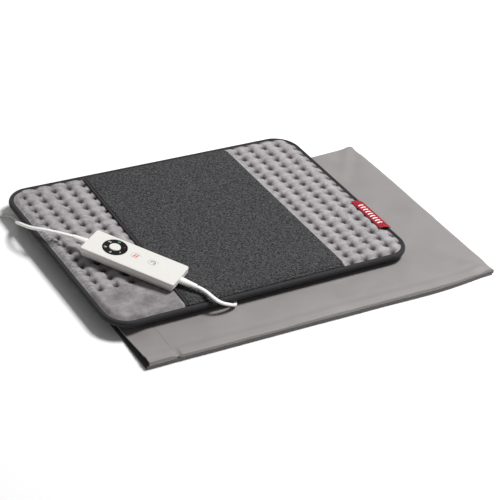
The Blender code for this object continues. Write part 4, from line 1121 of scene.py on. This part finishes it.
button = loft("level_cap", [disc_outline(radius, DIAL_MIDDLE, z) for radius, z in (
    (0.0020, -0.0032), (0.0020, -0.0022), (BUTTON_RADIUS, -0.0022), (BUTTON_RADIUS, 0.0006),
    (BUTTON_RADIUS - 0.0002, 0.0009), (BUTTON_RADIUS - 0.0007, 0.0011), (BUTTON_RADIUS - 0.0022, 0.0012),
    (0.0020, 0.0011))], abs_white, smooth_angle=50)
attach(button, "level_button")
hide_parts("level_button")
KEY_SECTION = ((0, -0.0021), (0, -0.0003), (-0.0001, -0.0001), (-0.0004, 0.0), (-0.0020, -0.0001))
for key_name, key_x in (("boost", BOOST_X), ("timer", TIMER_X)):
    key_loops = [capsule_outline(KEY_SIZE, (key_x, KEY_ROW), z, grow) for grow, z in KEY_SECTION]
    key = loft(f"{key_name}_cap", key_loops, abs_white, smooth_angle=50)
    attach(key, f"{key_name}_key")
    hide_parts(f"{key_name}_key")


INK_FILM = 0.00004


def ink_material(name, colour):
    """Pad-printed ink: a thin even film, a little duller than the plastic under it."""
    made, tree, shader = new_material(name, colour, 0.45)
    place = add(tree, "ShaderNodeTexCoord").outputs["Object"]
    roughen(tree, shader, place, 0.6, 0.00001, detail=1.0)
    return made


def stroke(points, width):
    """A printed line of this width through flat points, as loops for loft()."""
    loops = []
    for index, spot in enumerate(points):
        ahead = Vector(points[min(index + 1, len(points) - 1)]) - Vector(points[max(index - 1, 0)])
        across = Vector((-ahead.y, ahead.x)).normalized() * width / 2
        loops.append([(spot[0] + side * across.x, spot[1] + side * across.y) for side in (1, -1)])
    return loops


def print_mark(name, points, width, height, finish, body):
    """A thin film of ink standing on the face at this height."""
    loops = []
    for left, right in stroke(points, width):
        low = height - INK_FILM
        flat = [(*left, height), (*right, height), (*right, low), (*left, low)]
        loops.append(placed(handset_place, flat))
    mark = loft(name, loops, finish, smooth_angle=30)
    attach(mark, body)
    return mark


def arc_points(middle, radius, start, stop):
    angles = [math.radians(start + (stop - start) * i / ARC_STEPS) for i in range(ARC_STEPS + 1)]
    return [(middle[0] + radius * math.cos(a), middle[1] + radius * math.sin(a)) for a in angles]


white_ink = ink_material("white_pad_print_ink", "#d9d9d6")
red_ink = ink_material("red_pad_print_ink", "#b3392f")
green_ink = ink_material("green_pad_print_ink", "#6fae8a")
orange_ink = ink_material("orange_pad_print_ink", "#dd5a26")
olive_ink = ink_material("olive_grey_pad_print_ink", "#8f9a72")
MARK_RADIUS, MARK_WIDTH, RING_PRINT, KEY_PRINT = (DIAL_OUTER + DIAL_INNER) / 2, 0.0006, 0.00034, 0.00004
LEVEL_PITCH, LEVEL_REACH, LEVEL_WIDTH = 0.00085, 0.0013, 0.0004


def mark_middle(index):
    """Six places round the dial, from the top and clockwise."""
    bearing = math.radians(90 - 60 * index)
    return DIAL_X + MARK_RADIUS * math.cos(bearing), KEY_ROW + MARK_RADIUS * math.sin(bearing)


# At the top is a standby sign: a broken circle and a short bar. Then one to five bars stand for the levels.
x, y = mark_middle(0)
print_mark("mark_standby_arc", arc_points((x, y), 0.0012, 120, 420), MARK_WIDTH, RING_PRINT, green_ink, "pad")
print_mark("mark_standby_bar", [(x, y), (x, y + 0.0016)], MARK_WIDTH, RING_PRINT + 0.00002, green_ink, "pad")
for index in range(1, 6):
    x, y = mark_middle(index)
    ink = red_ink if index == 1 else white_ink
    for bar in range(index):
        shift = (bar - (index - 1) / 2) * LEVEL_PITCH
        line = [(x + shift, y - LEVEL_REACH), (x + shift, y + LEVEL_REACH)]
        print_mark(f"mark_level_{index}_{bar + 1}", line, LEVEL_WIDTH, RING_PRINT, ink, "pad")

# The boost key has two slanted strokes, and the timer key most of a circle with a hand.
for index, shift in enumerate((-0.0016, 0.0016), 1):
    foot, head = (BOOST_X + shift - 0.0009, KEY_ROW - 0.0029), (BOOST_X + shift + 0.0009, KEY_ROW + 0.0029)
    print_mark(f"boost_mark_{index}", [foot, head], 0.0015, KEY_PRINT, orange_ink, "boost_key")
timer_arc = arc_points((TIMER_X, KEY_ROW), 0.0029, -70, 200)
print_mark("timer_mark_arc", timer_arc, 0.0012, KEY_PRINT, olive_ink, "timer_key")
timer_hand = [(TIMER_X, KEY_ROW), (TIMER_X + 0.0019, KEY_ROW)]
print_mark("timer_mark_hand", timer_hand, 0.0009, KEY_PRINT, olive_ink, "timer_key")

give(moulded_material("zinc_plated_steel_screw", ("#a9a9ad", "#b5b5b9"), 0.3, Metallic=1.0),
     *[f"housing_screw_{i}" for i in range(1, 5)])
give(moulded_material("green_glass_epoxy_laminate", ("#1c5a37", "#21633d"), 0.4, IOR=1.55), "circuit_board")
give(moulded_material("clear_acrylic_light_guide", ("#e6f0ea", "#ecf4ef"), 0.08, IOR=1.49,
                      Transmission_Weight=0.8), "light_guide")
give(nickel, "plug_pin_left", "plug_pin_right")

# Strain reliefs: tapered soft PVC sleeves moulded on the leads, held behind the shells' end walls.
# Each section gives the reach out from the end wall and the half width there.
RELIEF_SECTIONS = (
    (-0.0022, 0.0039), (0.0, 0.0047), (0.0008, 0.0049), (0.0042, 0.0049), (0.0052, 0.0045),
    (0.0100, 0.0041), (0.0160, 0.0036), (0.0192, 0.0033), (0.0200, 0.0030),
)
RELIEF_FLAT, RELIEF_GAP, RELIEF_POINTS = 0.72, 0.0003, 32
for relief_name, side in (("mains", -1), ("feed", 1)):
    relief_loops = []
    for reach, radius in RELIEF_SECTIONS:
        x = side * (HANDSET_LENGTH / 2 + RELIEF_GAP + reach)
        circle = [2 * math.pi * i / RELIEF_POINTS for i in range(RELIEF_POINTS)]
        ring = [(x, radius * math.cos(a), -PART_LINE + RELIEF_FLAT * radius * math.sin(a)) for a in circle]
        relief_loops.append(placed(handset_place, ring))
    relief = loft(f"{relief_name}_lead_sleeve", relief_loops, lead_vinyl, smooth_angle=45)
    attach(relief, "pad")
    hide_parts(f"relief_{relief_name}")
